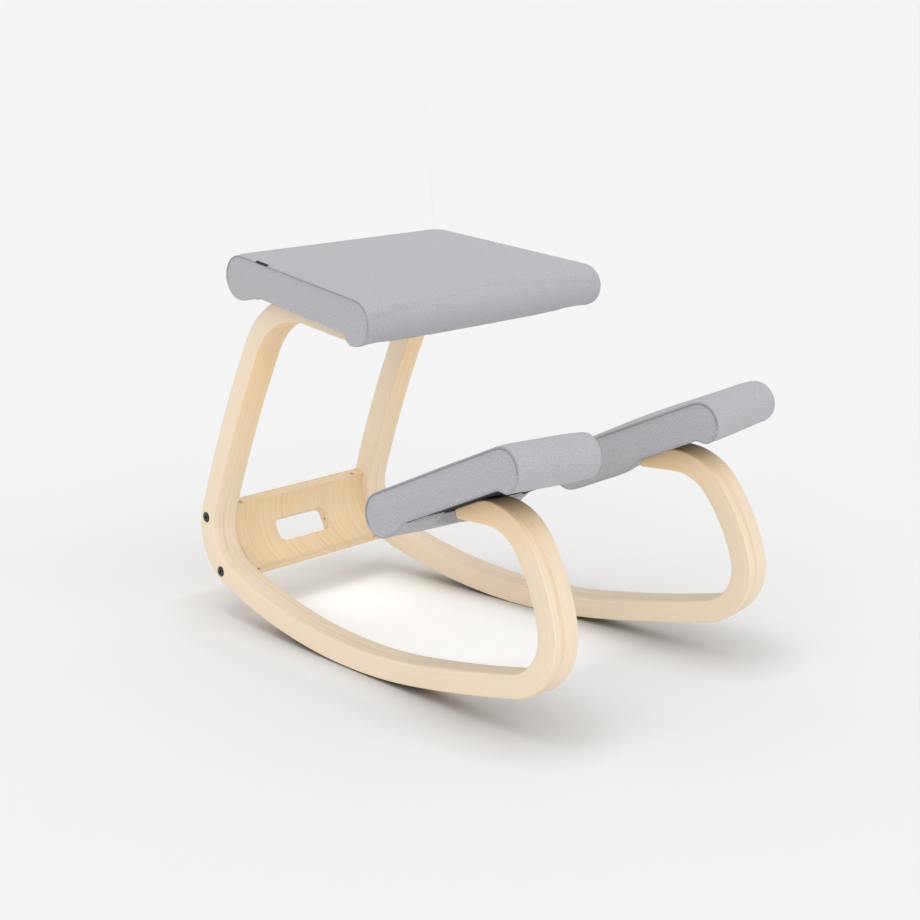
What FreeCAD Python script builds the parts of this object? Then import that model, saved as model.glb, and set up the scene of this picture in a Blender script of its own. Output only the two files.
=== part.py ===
import FreeCAD, Part
import math
import os
import Sketcher

# Rocking kneeling chair.
# Units are millimetres, +Z is up, the front of the chair faces -Y, and the origin lies
# on the floor under the middle of the bounding box.
# "Along" is the distance forward from the rearmost point of a runner, so Y = middle - along.

doc = FreeCAD.newDocument("kneeling_chair")
V = FreeCAD.Vector
UP = V(0, 0, 1)
ACROSS = V(1, 0, 0)

# Driving dimensions
SIZES = [
    ("runner_width", 39.0, "width of the laminated runner"),
    ("runner_thickness", 30.0, "thickness of the laminated runner"),
    ("runner_edge_ease", 1.6, "easing of the runner's long edges"),
    ("runner_half_gap", 153.8, "inner face of a runner to the middle plane, at the floor and mid length"),
    ("runner_splay", 3.6, "degrees each runner turns outward towards the front"),
    ("runner_lean", 2.3, "degrees each runner leans inward towards the top"),
    ("upright_length", 263.0, "length of the sloping upright"),
    ("upright_radius", 1900.0, "slight curve of the upright"),
    ("rear_bend_radius", 70.2, "rear bottom bend, middle of the wood"),
    ("top_bend_radius", 108.0, "bend below the seat, middle of the wood"),
    ("rocker_rear_radius", 816.0, "rear part of the rocker"),
    ("rocker_front_radius", 2068.0, "front part of the rocker"),
    ("front_bend_radius", 67.9, "front bottom bend"),
    ("front_leg_radius", 240.0, "front of the loop"),
    ("front_top_radius", 75.0, "top of the front loop"),
    ("seat_arm_length", 108.0, "flat arm below the seat"),
    ("seat_tilt", 6.4, "degrees the seat slopes down to the front"),
    ("seat_overhang_rear", 32.2, "seat edge past a runner's inner face, at the rear end"),
    ("seat_overhang_front", 64.2, "seat edge past a runner's inner face, at the front end"),
    ("seat_depth", 307.0, "seat length front to rear"),
    ("seat_crown", 4.0, "rise of the seat's middle over its edges"),
    ("seat_side_height", 58.5, "height of the seat at its sides, over the rear lobe"),
    ("seat_nose_radius", 29.0, "rounding of the seat's front end"),
    ("seat_tail_radius", 30.0, "rounding of the seat's rear end"),
    ("knee_tilt", 24.5, "degrees the knee pads rise to the front"),
    ("knee_pad_width", 134.0, "width of one knee pad"),
    ("knee_pad_length", 283.0, "length of one knee pad"),
    ("knee_crown", 3.0, "rise of the pad's middle over its edges"),
    ("knee_side_height", 57.5, "height of a knee pad at its sides, over the rear lobe"),
    ("knee_nose_radius", 27.0, "rounding of the pad's front end"),
    ("knee_tail_radius", 28.0, "rounding of the pad's rear end"),
    ("panel_thickness", 15.0, "thickness of the bent cross panel"),
    ("panel_radius", 73.3, "bend of the cross panel, middle of the wood"),
    ("slot_length", 96.0, "hand slot, side to side"),
    ("slot_height", 34.0, "hand slot, measured along the bend"),
    ("bolt_diameter", 6.0, "shank of every bolt"),
    ("board_thickness", 12.0, "plywood boards in the seat and pads"),
    ("lining_thickness", 1.5, "black lining under the boards"),
    ("cover_thickness", 2.0, "upholstery fabric with its backing"),
    ("side_panel_thickness", 3.0, "side panels of the covers"),
    ("soft_gap", 0.3, "clearance between soft bodies"),
    ("hole_clearance", 0.5, "bolt holes over the bolt diameter"),
]

sheet = doc.addObject("Spreadsheet::Sheet", "Sizes")
for row, (alias, number, note) in enumerate(SIZES, start=1):
    sheet.set("A%d" % row, alias)
    sheet.set("B%d" % row, str(number))
    sheet.set("C%d" % row, note)
    sheet.setAlias("B%d" % row, alias)
doc.recompute()


def size(alias):
    return float(sheet.get(alias))


# Positions that follow from the drawing of the chair
MIDDLE_ALONG = 350.0
SEAT_ORIGIN = (260.0, 500.0)
KNEE_ORIGIN = (550.0, 300.0)
REAR_BEND_START_HEADING = 251.9
REAR_BEND_TURN = 89.1
ROCKER_REAR_TURN = 27.8
ROCKER_FRONT_TURN = 5.1
FRONT_BEND_TURN = 90.1
FRONT_LEG_TURN = 23.1
KNEE_ARM_END_ALONG = 524.5
KNEE_ARM_TIP_RAKE = 4.0
KNEE_ARM_OUTER_RADIUS = 48.0
KNEE_ARM_UNDER_ANGLE = 3.0

width = size("runner_width")
thick = size("runner_thickness")
half = thick / 2.0


# Plane geometry in the side view: points are (along, height), headings in degrees
def direction(heading):
    angle = math.radians(heading)
    return (math.cos(angle), math.sin(angle))


def left_of(heading):
    angle = math.radians(heading)
    return (-math.sin(angle), math.cos(angle))


def shift(point, vector, distance):
    return (point[0] + vector[0] * distance, point[1] + vector[1] * distance)


def arc_step(point, heading, radius, turn):
    """Follow a left-hand arc; give the centre, the end point and the end heading."""
    centre = shift(point, left_of(heading), radius)
    end_heading = heading + turn
    end = shift(centre, left_of(end_heading), -radius)
    return centre, end, end_heading


def walk(point, heading, steps):
    """Follow lines and left-hand arcs along the middle of the wood."""
    legs = []
    for kind, first, second in steps:
        if kind == "line":
            end = shift(point, direction(heading), first)
            legs.append(("line", point, end, heading, heading, None, 0.0))
            point = end
        else:
            centre, end, end_heading = arc_step(point, heading, first, second)
            legs.append(("arc", point, end, heading, end_heading, centre, first))
            point = end
            heading = end_heading
    return legs


def offset_leg(leg, distance):
    """The same leg moved sideways; positive is towards the inside of the loop."""
    kind, start, end, h0, h1, centre, radius = leg
    a = shift(start, left_of(h0), distance)
    b = shift(end, left_of(h1), distance)
    if kind == "line":
        return ("line", a, b)
    middle = shift(centre, left_of((h0 + h1) / 2.0), -(radius - distance))
    return ("arc", a, middle, b)


def to_sketch(point):
    return V(MIDDLE_ALONG - point[0], point[1], 0)


def draw(sketch, pieces, convert):
    for piece in pieces:
        if piece[0] == "line":
            sketch.addGeometry(Part.LineSegment(convert(piece[1]), convert(piece[2])), False)
        else:
            curve = Part.Arc(convert(piece[1]), convert(piece[2]), convert(piece[3]))
            sketch.addGeometry(curve, False)


def reverse(pieces):
    turned = []
    for piece in reversed(pieces):
        turned.append((piece[0],) + tuple(reversed(piece[1:])))
    return turned


# Runner outline, walked from the rocker's rear bend both ways
seat_heading = 180.0 - size("seat_tilt")
upright_turn = math.degrees(size("upright_length") / size("upright_radius"))
top_turn = REAR_BEND_START_HEADING - upright_turn - seat_heading
rocker_heading = REAR_BEND_START_HEADING + REAR_BEND_TURN
front_heading = rocker_heading + ROCKER_REAR_TURN + ROCKER_FRONT_TURN
leg_heading = front_heading + FRONT_BEND_TURN + FRONT_LEG_TURN
STEPS = [
    ("line", size("seat_arm_length"), 0.0),
    ("arc", size("top_bend_radius"), top_turn),
    ("arc", size("upright_radius"), upright_turn),
    ("arc", size("rear_bend_radius"), REAR_BEND_TURN),
    ("arc", size("rocker_rear_radius"), ROCKER_REAR_TURN),
    ("arc", size("rocker_front_radius"), ROCKER_FRONT_TURN),
    ("arc", size("front_bend_radius"), FRONT_BEND_TURN),
    ("arc", size("front_leg_radius"), FRONT_LEG_TURN),
    ("arc", size("front_top_radius"), 540.0 - leg_heading),
]
trial = walk((0.0, 0.0), seat_heading, STEPS)
# the rearmost point of the outside lies on the rear bend, the lowest on the rocker
rear_centre = trial[3][5]
rocker_centre = trial[4][5]
start = (size("rear_bend_radius") + half - rear_centre[0],
         size("rocker_rear_radius") + half - rocker_centre[1])
path = walk(start, seat_heading, STEPS)
rear_centre = path[3][5]
rocker_centre = path[4][5]
top_point = path[8][2]


def knee_arm_pieces():
    """Outer top of the loop, the straight knee arm and its blunt tip."""
    heading = 180.0 + size("knee_tilt")
    crest = (top_point[0], top_point[1] + half)
    centre, bend_end, _ = arc_step(crest, 180.0, KNEE_ARM_OUTER_RADIUS, size("knee_tilt"))
    bend_middle = shift(centre, left_of(180.0 + size("knee_tilt") / 2.0), -KNEE_ARM_OUTER_RADIUS)
    run = (bend_end[0] - KNEE_ARM_END_ALONG) / -direction(heading)[0]
    tip_top = shift(bend_end, direction(heading), run)
    inner_radius = size("front_top_radius") - half
    inner_crest = (top_point[0], top_point[1] - half)
    _, under_start, under_heading = arc_step(inner_crest, 180.0, inner_radius, KNEE_ARM_UNDER_ANGLE)
    under_middle = shift(shift(inner_crest, left_of(180.0), inner_radius),
                         left_of(180.0 + KNEE_ARM_UNDER_ANGLE / 2.0), -inner_radius)
    tip_along = KNEE_ARM_END_ALONG + KNEE_ARM_TIP_RAKE
    drop = (under_start[0] - tip_along) * math.tan(math.radians(KNEE_ARM_UNDER_ANGLE))
    tip_bottom = (tip_along, under_start[1] - drop)
    return [
        ("arc", crest, bend_middle, bend_end),
        ("line", bend_end, tip_top),
        ("line", tip_top, tip_bottom),
        ("line", tip_bottom, under_start),
        ("arc", under_start, under_middle, inner_crest),
    ], bend_end, tip_top


outer = [offset_leg(leg, -half) for leg in path]
inner = [offset_leg(leg, half) for leg in path]
knee_pieces, knee_bend_end, knee_tip = knee_arm_pieces()
closing = [("line", inner[0][1], outer[0][1])]
runner_outline = outer + knee_pieces + reverse(inner) + closing


# Placements
def runner_placement(side):
    """side is -1 for the sitter's right runner and +1 for the left one."""
    splay = FreeCAD.Rotation(UP, side * size("runner_splay"))
    lean = FreeCAD.Rotation(V(0, 1, 0), -side * size("runner_lean"))
    across = side * (size("runner_half_gap") + width / 2.0)
    lift = math.sin(math.radians(size("runner_lean"))) * width / 2.0
    return FreeCAD.Placement(V(across, 0, lift), splay.multiply(lean))


def place(x, along, height, tilt=0.0):
    """tilt is positive where the front is lower."""
    turn = FreeCAD.Rotation(ACROSS, tilt)
    return FreeCAD.Placement(V(x, MIDDLE_ALONG - along, height), turn)


seat_placement = place(0.0, SEAT_ORIGIN[0], SEAT_ORIGIN[1], size("seat_tilt"))


def knee_placement(side):
    local = place(0.0, KNEE_ORIGIN[0], KNEE_ORIGIN[1], -size("knee_tilt"))
    return runner_placement(side).multiply(local)


def height_over(origin, tilt, point):
    """Height of a side-view point over the plane through origin, square to it."""
    rise = math.radians(tilt)
    return ((point[0] - origin[0]) * math.sin(rise) + (point[1] - origin[1]) * math.cos(rise))


arm_top = outer[0][1]
lean_drop = math.sin(math.radians(size("runner_lean"))) * width / 2.0
SEAT_BASE = height_over(SEAT_ORIGIN, size("seat_tilt"), arm_top) - lean_drop
KNEE_BASE = height_over(KNEE_ORIGIN, -size("knee_tilt"), knee_bend_end)


# How far a cutter reaches past the face that it opens
OVERCUT = 1.0


# Small helpers for the document
def plane(body, role):
    for feature in body.Origin.OriginFeatures:
        if feature.Role == role:
            return feature
    return None


def new_sketch(body, name, role, offset=None):
    sketch = body.newObject("Sketcher::SketchObject", name)
    sketch.AttachmentSupport = (plane(body, role), "")
    sketch.MapMode = "FlatFace"
    if offset is not None:
        sketch.AttachmentOffset = offset
    return sketch


def cylinder(name, placement, radius, length):
    """A cylinder along the placement's own Z axis."""
    shape = doc.addObject("Part::Cylinder", name)
    shape.Radius = radius
    shape.Height = length
    shape.Placement = placement
    return shape


def box(name, placement, low, high):
    shape = doc.addObject("Part::Box", name)
    shape.Length = high[0] - low[0]
    shape.Width = high[1] - low[1]
    shape.Height = high[2] - low[2]
    shape.Placement = placement.multiply(FreeCAD.Placement(V(*low), FreeCAD.Rotation()))
    return shape


def cut(name, base, tools):
    union = doc.addObject("Part::Compound", name + "_tools")
    union.Links = tools
    result = doc.addObject("Part::Cut", name)
    result.Base = base
    result.Tool = union
    return result


def group(name, links):
    result = doc.addObject("Part::Compound", name)
    result.Links = links
    return result


def spin(placement, x, y, z, axis=None, angle=0.0):
    turn = FreeCAD.Rotation(axis, angle) if axis is not None else FreeCAD.Rotation()
    return placement.multiply(FreeCAD.Placement(V(x, y, z), turn))


# Fasteners
BOLT = size("bolt_diameter")
HEAD_DIAMETER = 13.0
HEAD_HEIGHT = 4.5
WASHER_DIAMETER = 16.0
WASHER_THICKNESS = 1.5
HEAD_LAP = 0.5
SOCKET_WIDTH = 4.0
SOCKET_DEPTH = 3.0
TEE_FLANGE = 18.0
TEE_FLANGE_THICKNESS = 1.5
TEE_BARREL = 8.0
TEE_BARREL_LENGTH = 8.0
hole_radius = (BOLT + size("hole_clearance")) / 2.0


def bolt(name, placement, length):
    """Socket-head bolt: the head lies below Z = 0 and the shank rises from it."""
    head = cylinder(name + "_head", spin(placement, 0, 0, -HEAD_HEIGHT), HEAD_DIAMETER / 2.0, HEAD_HEIGHT)
    shank = cylinder(name + "_shank", spin(placement, 0, 0, -HEAD_LAP), BOLT / 2.0, length + HEAD_LAP)
    joined = doc.addObject("Part::MultiFuse", name + "_blank")
    joined.Shapes = [head, shank]
    socket = doc.addObject("Part::Prism", name + "_socket")
    socket.Polygon = 6
    socket.Circumradius = SOCKET_WIDTH / math.sqrt(3.0)
    socket.Height = SOCKET_DEPTH
    socket.Placement = spin(placement, 0, 0, -HEAD_HEIGHT)
    result = doc.addObject("Part::Cut", name)
    result.Base = joined
    result.Tool = socket
    return result


def tube(name, placement, outer_radius, inner_radius, length):
    whole = cylinder(name + "_outside", placement, outer_radius, length)
    bore = cylinder(name + "_bore", spin(placement, 0, 0, -OVERCUT), inner_radius,
                    length + 2.0 * OVERCUT)
    result = doc.addObject("Part::Cut", name)
    result.Base = whole
    result.Tool = bore
    return result


def tee_nut(name, placement):
    """Flange up: the barrel hangs below Z = 0."""
    flange = cylinder(name + "_flange", placement, TEE_FLANGE / 2.0, TEE_FLANGE_THICKNESS)
    barrel = cylinder(name + "_barrel", spin(placement, 0, 0, -TEE_BARREL_LENGTH),
                      TEE_BARREL / 2.0, TEE_BARREL_LENGTH + TEE_FLANGE_THICKNESS / 2.0)
    joined = doc.addObject("Part::MultiFuse", name + "_blank")
    joined.Shapes = [flange, barrel]
    bore = cylinder(name + "_bore", spin(placement, 0, 0, -TEE_BARREL_LENGTH - OVERCUT),
                    BOLT / 2.0, TEE_BARREL_LENGTH + TEE_FLANGE_THICKNESS + 2.0 * OVERCUT)
    result = doc.addObject("Part::Cut", name)
    result.Base = joined
    result.Tool = bore
    return result


SIDES = [(-1, "right"), (1, "left")]
finished = []


def finish(node, label):
    node.Label = label
    finished.append(node)
    return node


# Cross panel: a strip of plywood bent round the rear bend
PANEL_TOP_ANGLE = 162.0
PANEL_BOTTOM_ANGLE = 250.5
UPPER_BOLT_ANGLE = 173.4
LOWER_BOLT_ANGLE = 239.0
SLOT_ANGLE = 209.0
SLOT_CORNER = 9.0
SLOT_CUT_DEPTH = 44.0
BARREL_DIAMETER = 8.0
BARREL_LENGTH = 12.0
BARREL_INSET = 18.0
PIN_HOLE_DIAMETER = 5.0
PIN_HOLE_DEPTH = 18.0
BARREL_CLEARANCE = 0.1
BARREL_HOLE_DEPTH = 60.0
END_TRIM = 120.0
END_TRIM_ZONE = (150.0, 450.0, -60.0, 260.0)
panel_radius = size("panel_radius")
panel_half = size("panel_thickness") / 2.0


def polar(radius, angle):
    turn = math.radians(angle)
    return (rear_centre[0] + radius * math.cos(turn), rear_centre[1] + radius * math.sin(turn))


panel_middle_angle = (PANEL_TOP_ANGLE + PANEL_BOTTOM_ANGLE) / 2.0
panel_outline = [
    ("arc", polar(panel_radius + panel_half, PANEL_TOP_ANGLE),
     polar(panel_radius + panel_half, panel_middle_angle),
     polar(panel_radius + panel_half, PANEL_BOTTOM_ANGLE)),
    ("line", polar(panel_radius + panel_half, PANEL_BOTTOM_ANGLE),
     polar(panel_radius - panel_half, PANEL_BOTTOM_ANGLE)),
    ("arc", polar(panel_radius - panel_half, PANEL_BOTTOM_ANGLE),
     polar(panel_radius - panel_half, panel_middle_angle),
     polar(panel_radius - panel_half, PANEL_TOP_ANGLE)),
    ("line", polar(panel_radius - panel_half, PANEL_TOP_ANGLE),
     polar(panel_radius + panel_half, PANEL_TOP_ANGLE)),
]
panel = doc.addObject("PartDesign::Body", "panel_body")
outline = new_sketch(panel, "panel_outline", "YZ_Plane")
draw(outline, panel_outline, to_sketch)
doc.recompute()
strip = panel.newObject("PartDesign::Pad", "panel_strip")
strip.Profile = outline
strip.Midplane = True
strip.setExpression("Length", "Sizes.runner_half_gap * 2 + Sizes.runner_width")
doc.recompute()

# The slot is cut square to the panel at the slot's own angle
slot_point = polar(panel_radius, SLOT_ANGLE)
slot_turn = FreeCAD.Rotation(ACROSS, 180.0 - SLOT_ANGLE)
slot_offset = FreeCAD.Placement(V(0, slot_point[1], slot_point[0] - MIDDLE_ALONG), slot_turn)
slot = new_sketch(panel, "hand_slot_outline", "XZ_Plane", slot_offset)
a = size("slot_length") / 2.0
b = size("slot_height") / 2.0
r = SLOT_CORNER
k = r * (1.0 - math.sqrt(0.5))
slot_pieces = [
    ("line", (-a + r, -b), (a - r, -b)),
    ("arc", (a - r, -b), (a - k, -b + k), (a, -b + r)),
    ("line", (a, -b + r), (a, b - r)),
    ("arc", (a, b - r), (a - k, b - k), (a - r, b)),
    ("line", (a - r, b), (-a + r, b)),
    ("arc", (-a + r, b), (-a + k, b - k), (-a, b - r)),
    ("line", (-a, b - r), (-a, -b + r)),
    ("arc", (-a, -b + r), (-a + k, -b + k), (-a + r, -b)),
]
draw(slot, slot_pieces, lambda p: V(p[0], p[1], 0))
doc.recompute()
opening = panel.newObject("PartDesign::Pocket", "hand_slot")
opening.Profile = slot
opening.Midplane = True
opening.Length = SLOT_CUT_DEPTH
doc.recompute()

# The ends are trimmed by the leaning inner faces of the runners
panel_cuts = []
for side, word in SIDES:
    inner_face = -side * width / 2.0
    low_x = inner_face if side > 0 else inner_face - END_TRIM
    near, far, low, high = END_TRIM_ZONE
    panel_cuts.append(box("panel_end_" + word, runner_placement(side),
                          (low_x, near, low), (low_x + END_TRIM, far, high)))


def in_runner(side, x, point):
    """A frame at a side-view point of a runner; x is measured from its mid plane."""
    return spin(runner_placement(side), x, MIDDLE_ALONG - point[0], point[1])


# Panel bolts run inward from the outer faces into barrel nuts in the panel
HEAD_RECESS_DIAMETER = 14.5
PANEL_BOLT_LENGTH = 58.0
HEAD_SEAT = 0.5
BORE_PAST_BOLT = 4.0
BARREL_THREAD_REACH = 40.0
panel_bolts = {}
barrels = []
bolt_bores = {}
for side, word in SIDES:
    panel_bolts[side] = []
    bolt_bores[side] = []
    for level, angle in (("upper", UPPER_BOLT_ANGLE), ("lower", LOWER_BOLT_ANGLE)):
        spot = polar(panel_radius, angle)
        outer_face = side * width / 2.0
        axis = spin(in_runner(side, outer_face, spot), 0, 0, 0, V(0, 1, 0), -side * 90.0)
        seat_point = spin(axis, 0, 0, HEAD_HEIGHT - HEAD_SEAT)
        name = "%s_%s" % (level, word)
        panel_bolts[side].append(bolt("panel_bolt_" + name, seat_point, PANEL_BOLT_LENGTH))
        bolt_bores[side].append(cylinder("runner_bore_" + name, spin(axis, 0, 0, -OVERCUT),
                                         hole_radius, width + 2.0 * OVERCUT))
        bolt_bores[side].append(cylinder("runner_recess_" + name, spin(axis, 0, 0, -OVERCUT),
                                         HEAD_RECESS_DIAMETER / 2.0, HEAD_HEIGHT - HEAD_SEAT + OVERCUT))
        panel_cuts.append(cylinder("panel_bore_" + name, spin(axis, 0, 0, width - 2.0 * OVERCUT),
                                   hole_radius, PANEL_BOLT_LENGTH - width + HEAD_HEIGHT + BORE_PAST_BOLT))
        inset = side * (-width / 2.0 - BARREL_INSET)
        nut_turn = 180.0 - angle if level == "upper" else 360.0 - angle
        nut_frame = spin(in_runner(side, inset, spot), 0, 0, 0, ACROSS, nut_turn)
        blank = cylinder("barrel_blank_" + name, spin(nut_frame, 0, 0, -BARREL_LENGTH / 2.0),
                         BARREL_DIAMETER / 2.0, BARREL_LENGTH)
        thread = cylinder("barrel_thread_" + name, spin(axis, 0, 0, width), BOLT / 2.0,
                          BARREL_THREAD_REACH)
        nut = doc.addObject("Part::Cut", "barrel_" + name)
        nut.Base = blank
        nut.Tool = thread
        barrels.append(nut)
        hole = cylinder("barrel_hole_" + name, spin(nut_frame, 0, 0, -BARREL_LENGTH / 2.0 - OVERCUT / 2.0),
                        BARREL_DIAMETER / 2.0 + BARREL_CLEARANCE, BARREL_HOLE_DEPTH)
        panel_cuts.append(hole)
for side, word in SIDES:
    end = side * size("slot_length") / 2.0
    pin_frame = spin(place(end, slot_point[0], slot_point[1]), 0, 0, 0, V(0, 1, 0), side * 90.0)
    panel_cuts.append(cylinder("pin_hole_" + word, spin(pin_frame, 0, 0, -2.0 * OVERCUT),
                               PIN_HOLE_DIAMETER / 2.0, PIN_HOLE_DEPTH + 2.0 * OVERCUT))
finish(cut("panel_trimmed", panel, panel_cuts), "cross_panel")
for side, word in SIDES:
    finish(group("panel_bolt_pair_" + word, panel_bolts[side]), "panel_bolts_" + word)
finish(group("barrel_set", barrels), "barrel_nuts")

# Upholstered boards: where the bolts pass, measured in the seat's and pads' own frames
SEAT_BOLT_SPOTS = [-5.0, 62.0]
KNEE_BOLT_SPOTS = [-26.0, 2.0]
SEAT_GRIP = 23.0
KNEE_GRIP = 11.0
RECESS_DIAMETER = 16.5
RECESS_REACH = 40.0
BORE_REACH = 20.0
LINING_BORE_REACH = 10.0
TIP_BELOW_BOARD_TOP = 0.5
TEE_CLEARANCE = 0.1
FLANGE_CLEARANCE = 0.2
FLANGE_RECESS_REACH = 6.0


def arm_middle(side, frame, u, v):
    """Sideways place, in the frame, of the runner's mid plane at (u, v)."""
    low = runner_placement(side).inverse().multiply(frame)
    here = low.multVec(V(0, -u, v)).x
    step = low.multVec(V(1, -u, v)).x - here
    return -here / step


def upholstery_bolts(side, word, frame, spots, base, grip, board_top, label):
    """Bolts from below through a runner's arm, with washers and tee nuts."""
    found = {"bolts": [], "washers": [], "nuts": [], "arm": [], "board": [], "lining": []}
    for number, u in enumerate(spots):
        x = arm_middle(side, frame, u, base)
        name = "%s_%s_%d" % (label, word, number)
        seat_level = spin(frame, x, -u, base - grip)
        head = spin(frame, x, -u, base - grip - WASHER_THICKNESS)
        length = grip + WASHER_THICKNESS + board_top - base - TIP_BELOW_BOARD_TOP
        found["bolts"].append(bolt("bolt_" + name, head, length))
        washer = tube("washer_" + name, head, WASHER_DIAMETER / 2.0, hole_radius, WASHER_THICKNESS)
        found["washers"].append(washer)
        found["nuts"].append(tee_nut("nut_" + name, spin(frame, x, -u, board_top - TEE_FLANGE_THICKNESS)))
        found["arm"].append(cylinder("arm_bore_" + name, seat_level, hole_radius, grip + BORE_REACH))
        found["arm"].append(cylinder("arm_recess_" + name, spin(seat_level, 0, 0, -RECESS_REACH),
                                     RECESS_DIAMETER / 2.0, RECESS_REACH))
        found["lining"].append(cylinder("lining_bore_" + name, spin(seat_level, 0, 0, grip - 2.0 * OVERCUT),
                                        hole_radius + size("hole_clearance"), LINING_BORE_REACH))
        found["board"].append(cylinder("board_bore_" + name, spin(seat_level, 0, 0, grip - 2.0 * OVERCUT),
                                       TEE_BARREL / 2.0 + TEE_CLEARANCE, RECESS_REACH))
        recess = spin(frame, x, -u, board_top - TEE_FLANGE_THICKNESS)
        found["board"].append(cylinder("board_recess_" + name, recess, TEE_FLANGE / 2.0 + FLANGE_CLEARANCE,
                                       FLANGE_RECESS_REACH))
    return found


# Soft sections, drawn in (u, v): u runs forward along the cushion, v square to it
def cushion_section(shape, inset, recess, rear_step, rise, bevelled=False):
    """Closed outline of a cushion in side view, moved inward by inset.

    rise is the height of the top's middle over its ends. A bevelled outline has
    straight cuts in place of each arc.
    """
    rear = shape["rear"] + inset
    front = shape["front"] - inset
    low = shape["bottom"] + inset
    high = shape["top"] - inset
    middle = (shape["bottom"] + shape["top"]) / 2.0
    rear_reach = shape["rear_radius"] - inset
    front_reach = shape["front_radius"] - inset
    front_low = shape["front_bottom"] + inset
    lean = math.sqrt(0.5)

    top_rear = (rear + rear_reach, high)
    top_front = (front - front_reach, high)
    nose = (front, middle)
    tail = (rear, middle)
    low_front = (front - front_reach, front_low)
    low_rear = (rear + rear_reach, low)

    def bulge(p, q, out_u, out_v):
        """Middle point of a rounded corner between p and q."""
        return (p[0] + (q[0] - p[0]) * (1.0 - lean) if out_u else p[0] + (q[0] - p[0]) * lean,
                p[1] + (q[1] - p[1]) * (1.0 - lean) if out_v else p[1] + (q[1] - p[1]) * lean)

    front_inner = (shape["front_step"] - shape["front_slope"], recess)
    front_foot = (shape["front_step"] + inset, front_low)
    rear_foot = (rear_step - inset, low)
    rear_inner = (rear_step + shape["rear_slope"], recess)
    if rise > 0.0:
        crest = ((top_rear[0] + top_front[0]) / 2.0, high + rise)
        top_piece = ("arc", top_rear, crest, top_front)
    else:
        top_piece = ("line", top_rear, top_front)
    round_outline = [
        top_piece,
        ("arc", top_front, bulge(top_front, nose, False, True), nose),
        ("arc", nose, bulge(nose, low_front, True, False), low_front),
        ("line", low_front, front_foot),
        ("line", front_foot, front_inner),
        ("line", front_inner, rear_inner),
        ("line", rear_inner, rear_foot),
        ("line", rear_foot, low_rear),
        ("arc", low_rear, bulge(low_rear, tail, False, True), tail),
        ("arc", tail, bulge(tail, top_rear, True, False), top_rear),
    ]
    if not bevelled:
        return round_outline
    cuts = []
    for piece in round_outline:
        for first, second in zip(piece[1:], piece[2:]):
            cuts.append(("line", first, second))
    return cuts


# Each cushion is placed by its top, by its middle's shift along it, and by the lobes at its ends
SEAT_TOP = 4.5
SEAT_SHIFT = -5.0
SEAT_FRONT_LOBE = 36.5
SEAT_REAR_LOBE = 40.5
SEAT_BOARD_REAR = -76.0
SEAT_BOARD_FRONT = 94.0
SEAT_BOARD_MARGIN = 14.0
seat_front = size("seat_depth") / 2.0 + SEAT_SHIFT
seat_rear = -size("seat_depth") / 2.0 + SEAT_SHIFT
SEAT_SHAPE = {
    "rear": seat_rear,
    "front": seat_front,
    "top": SEAT_TOP,
    "bottom": SEAT_TOP - size("seat_side_height"),
    "front_bottom": SEAT_TOP - size("seat_side_height") + 0.5,
    "rear_radius": size("seat_tail_radius"),
    "front_radius": size("seat_nose_radius"),
    "front_step": seat_front - SEAT_FRONT_LOBE,
    "front_slope": 14.0,
    "rear_step": seat_rear + SEAT_REAR_LOBE,
    "rear_slope": 36.0,
    "recess": SEAT_BASE - 4.5,
}
KNEE_TOP = 14.0
KNEE_SHIFT = -9.5
KNEE_FRONT_LOBE = 30.0
KNEE_REAR_LOBE = 43.0
KNEE_BOARD_REAR = -76.0
KNEE_BOARD_FRONT = 86.0
KNEE_BOARD_MARGIN = 8.0
knee_front = size("knee_pad_length") / 2.0 + KNEE_SHIFT
knee_rear = -size("knee_pad_length") / 2.0 + KNEE_SHIFT
KNEE_SHAPE = {
    "rear": knee_rear,
    "front": knee_front,
    "top": KNEE_TOP,
    "bottom": KNEE_TOP - size("knee_side_height"),
    "front_bottom": KNEE_TOP - size("knee_side_height") + 2.0,
    "rear_radius": size("knee_tail_radius"),
    "front_radius": size("knee_nose_radius"),
    "front_step": knee_front - KNEE_FRONT_LOBE,
    "front_slope": 12.0,
    "rear_step": knee_rear + KNEE_REAR_LOBE,
    "rear_slope": 28.0,
    "recess": KNEE_BASE - 2.5,
}


# Where the lofted sections stand across the width, as fractions of the half width
SEAT_STATIONS = (-1.0, -0.55, 0.0, 0.55, 1.0)
KNEE_STATIONS = (-1.0, 0.0, 1.0)
FOAM_STATIONS = (-1.0, 0.0, 1.0)
EDGE_RISE = 0.05
CUTTER_SPREAD = 1.06
FOAM_HOLLOW = 3.0
POCKET_REACH = 12.0


def fan_offset(fraction, half_width, widening):
    """Plane across the cushion at a fraction of its half width."""
    turn = math.degrees(math.atan(fraction * widening))
    return FreeCAD.Placement(V(0, 0, fraction * half_width), FreeCAD.Rotation(V(0, 1, 0), turn))


def loft_bodies(body, name, shape, inset, recess, spread, half_width, widening, crown, step_of, kind,
                stations, bevelled=False):
    """Loft a cushion section across the width; the middle rises by the crown."""
    sketches = []
    for number, station in enumerate(stations):
        fraction = station * spread
        sketch = new_sketch(body, "%s_section_%d" % (name, number), "YZ_Plane",
                            fan_offset(fraction, half_width, widening))
        rise = max(crown * (1.0 - fraction * fraction), EDGE_RISE)
        pieces = cushion_section(shape, inset, recess, step_of(fraction), rise, bevelled)
        draw(sketch, pieces, lambda p: V(-p[0], p[1], 0))
        sketches.append(sketch)
    doc.recompute()
    loft = body.newObject(kind, name)
    loft.Profile = sketches[0]
    loft.Sections = sketches[1:]
    loft.Ruled = True
    doc.recompute()
    return loft


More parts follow.
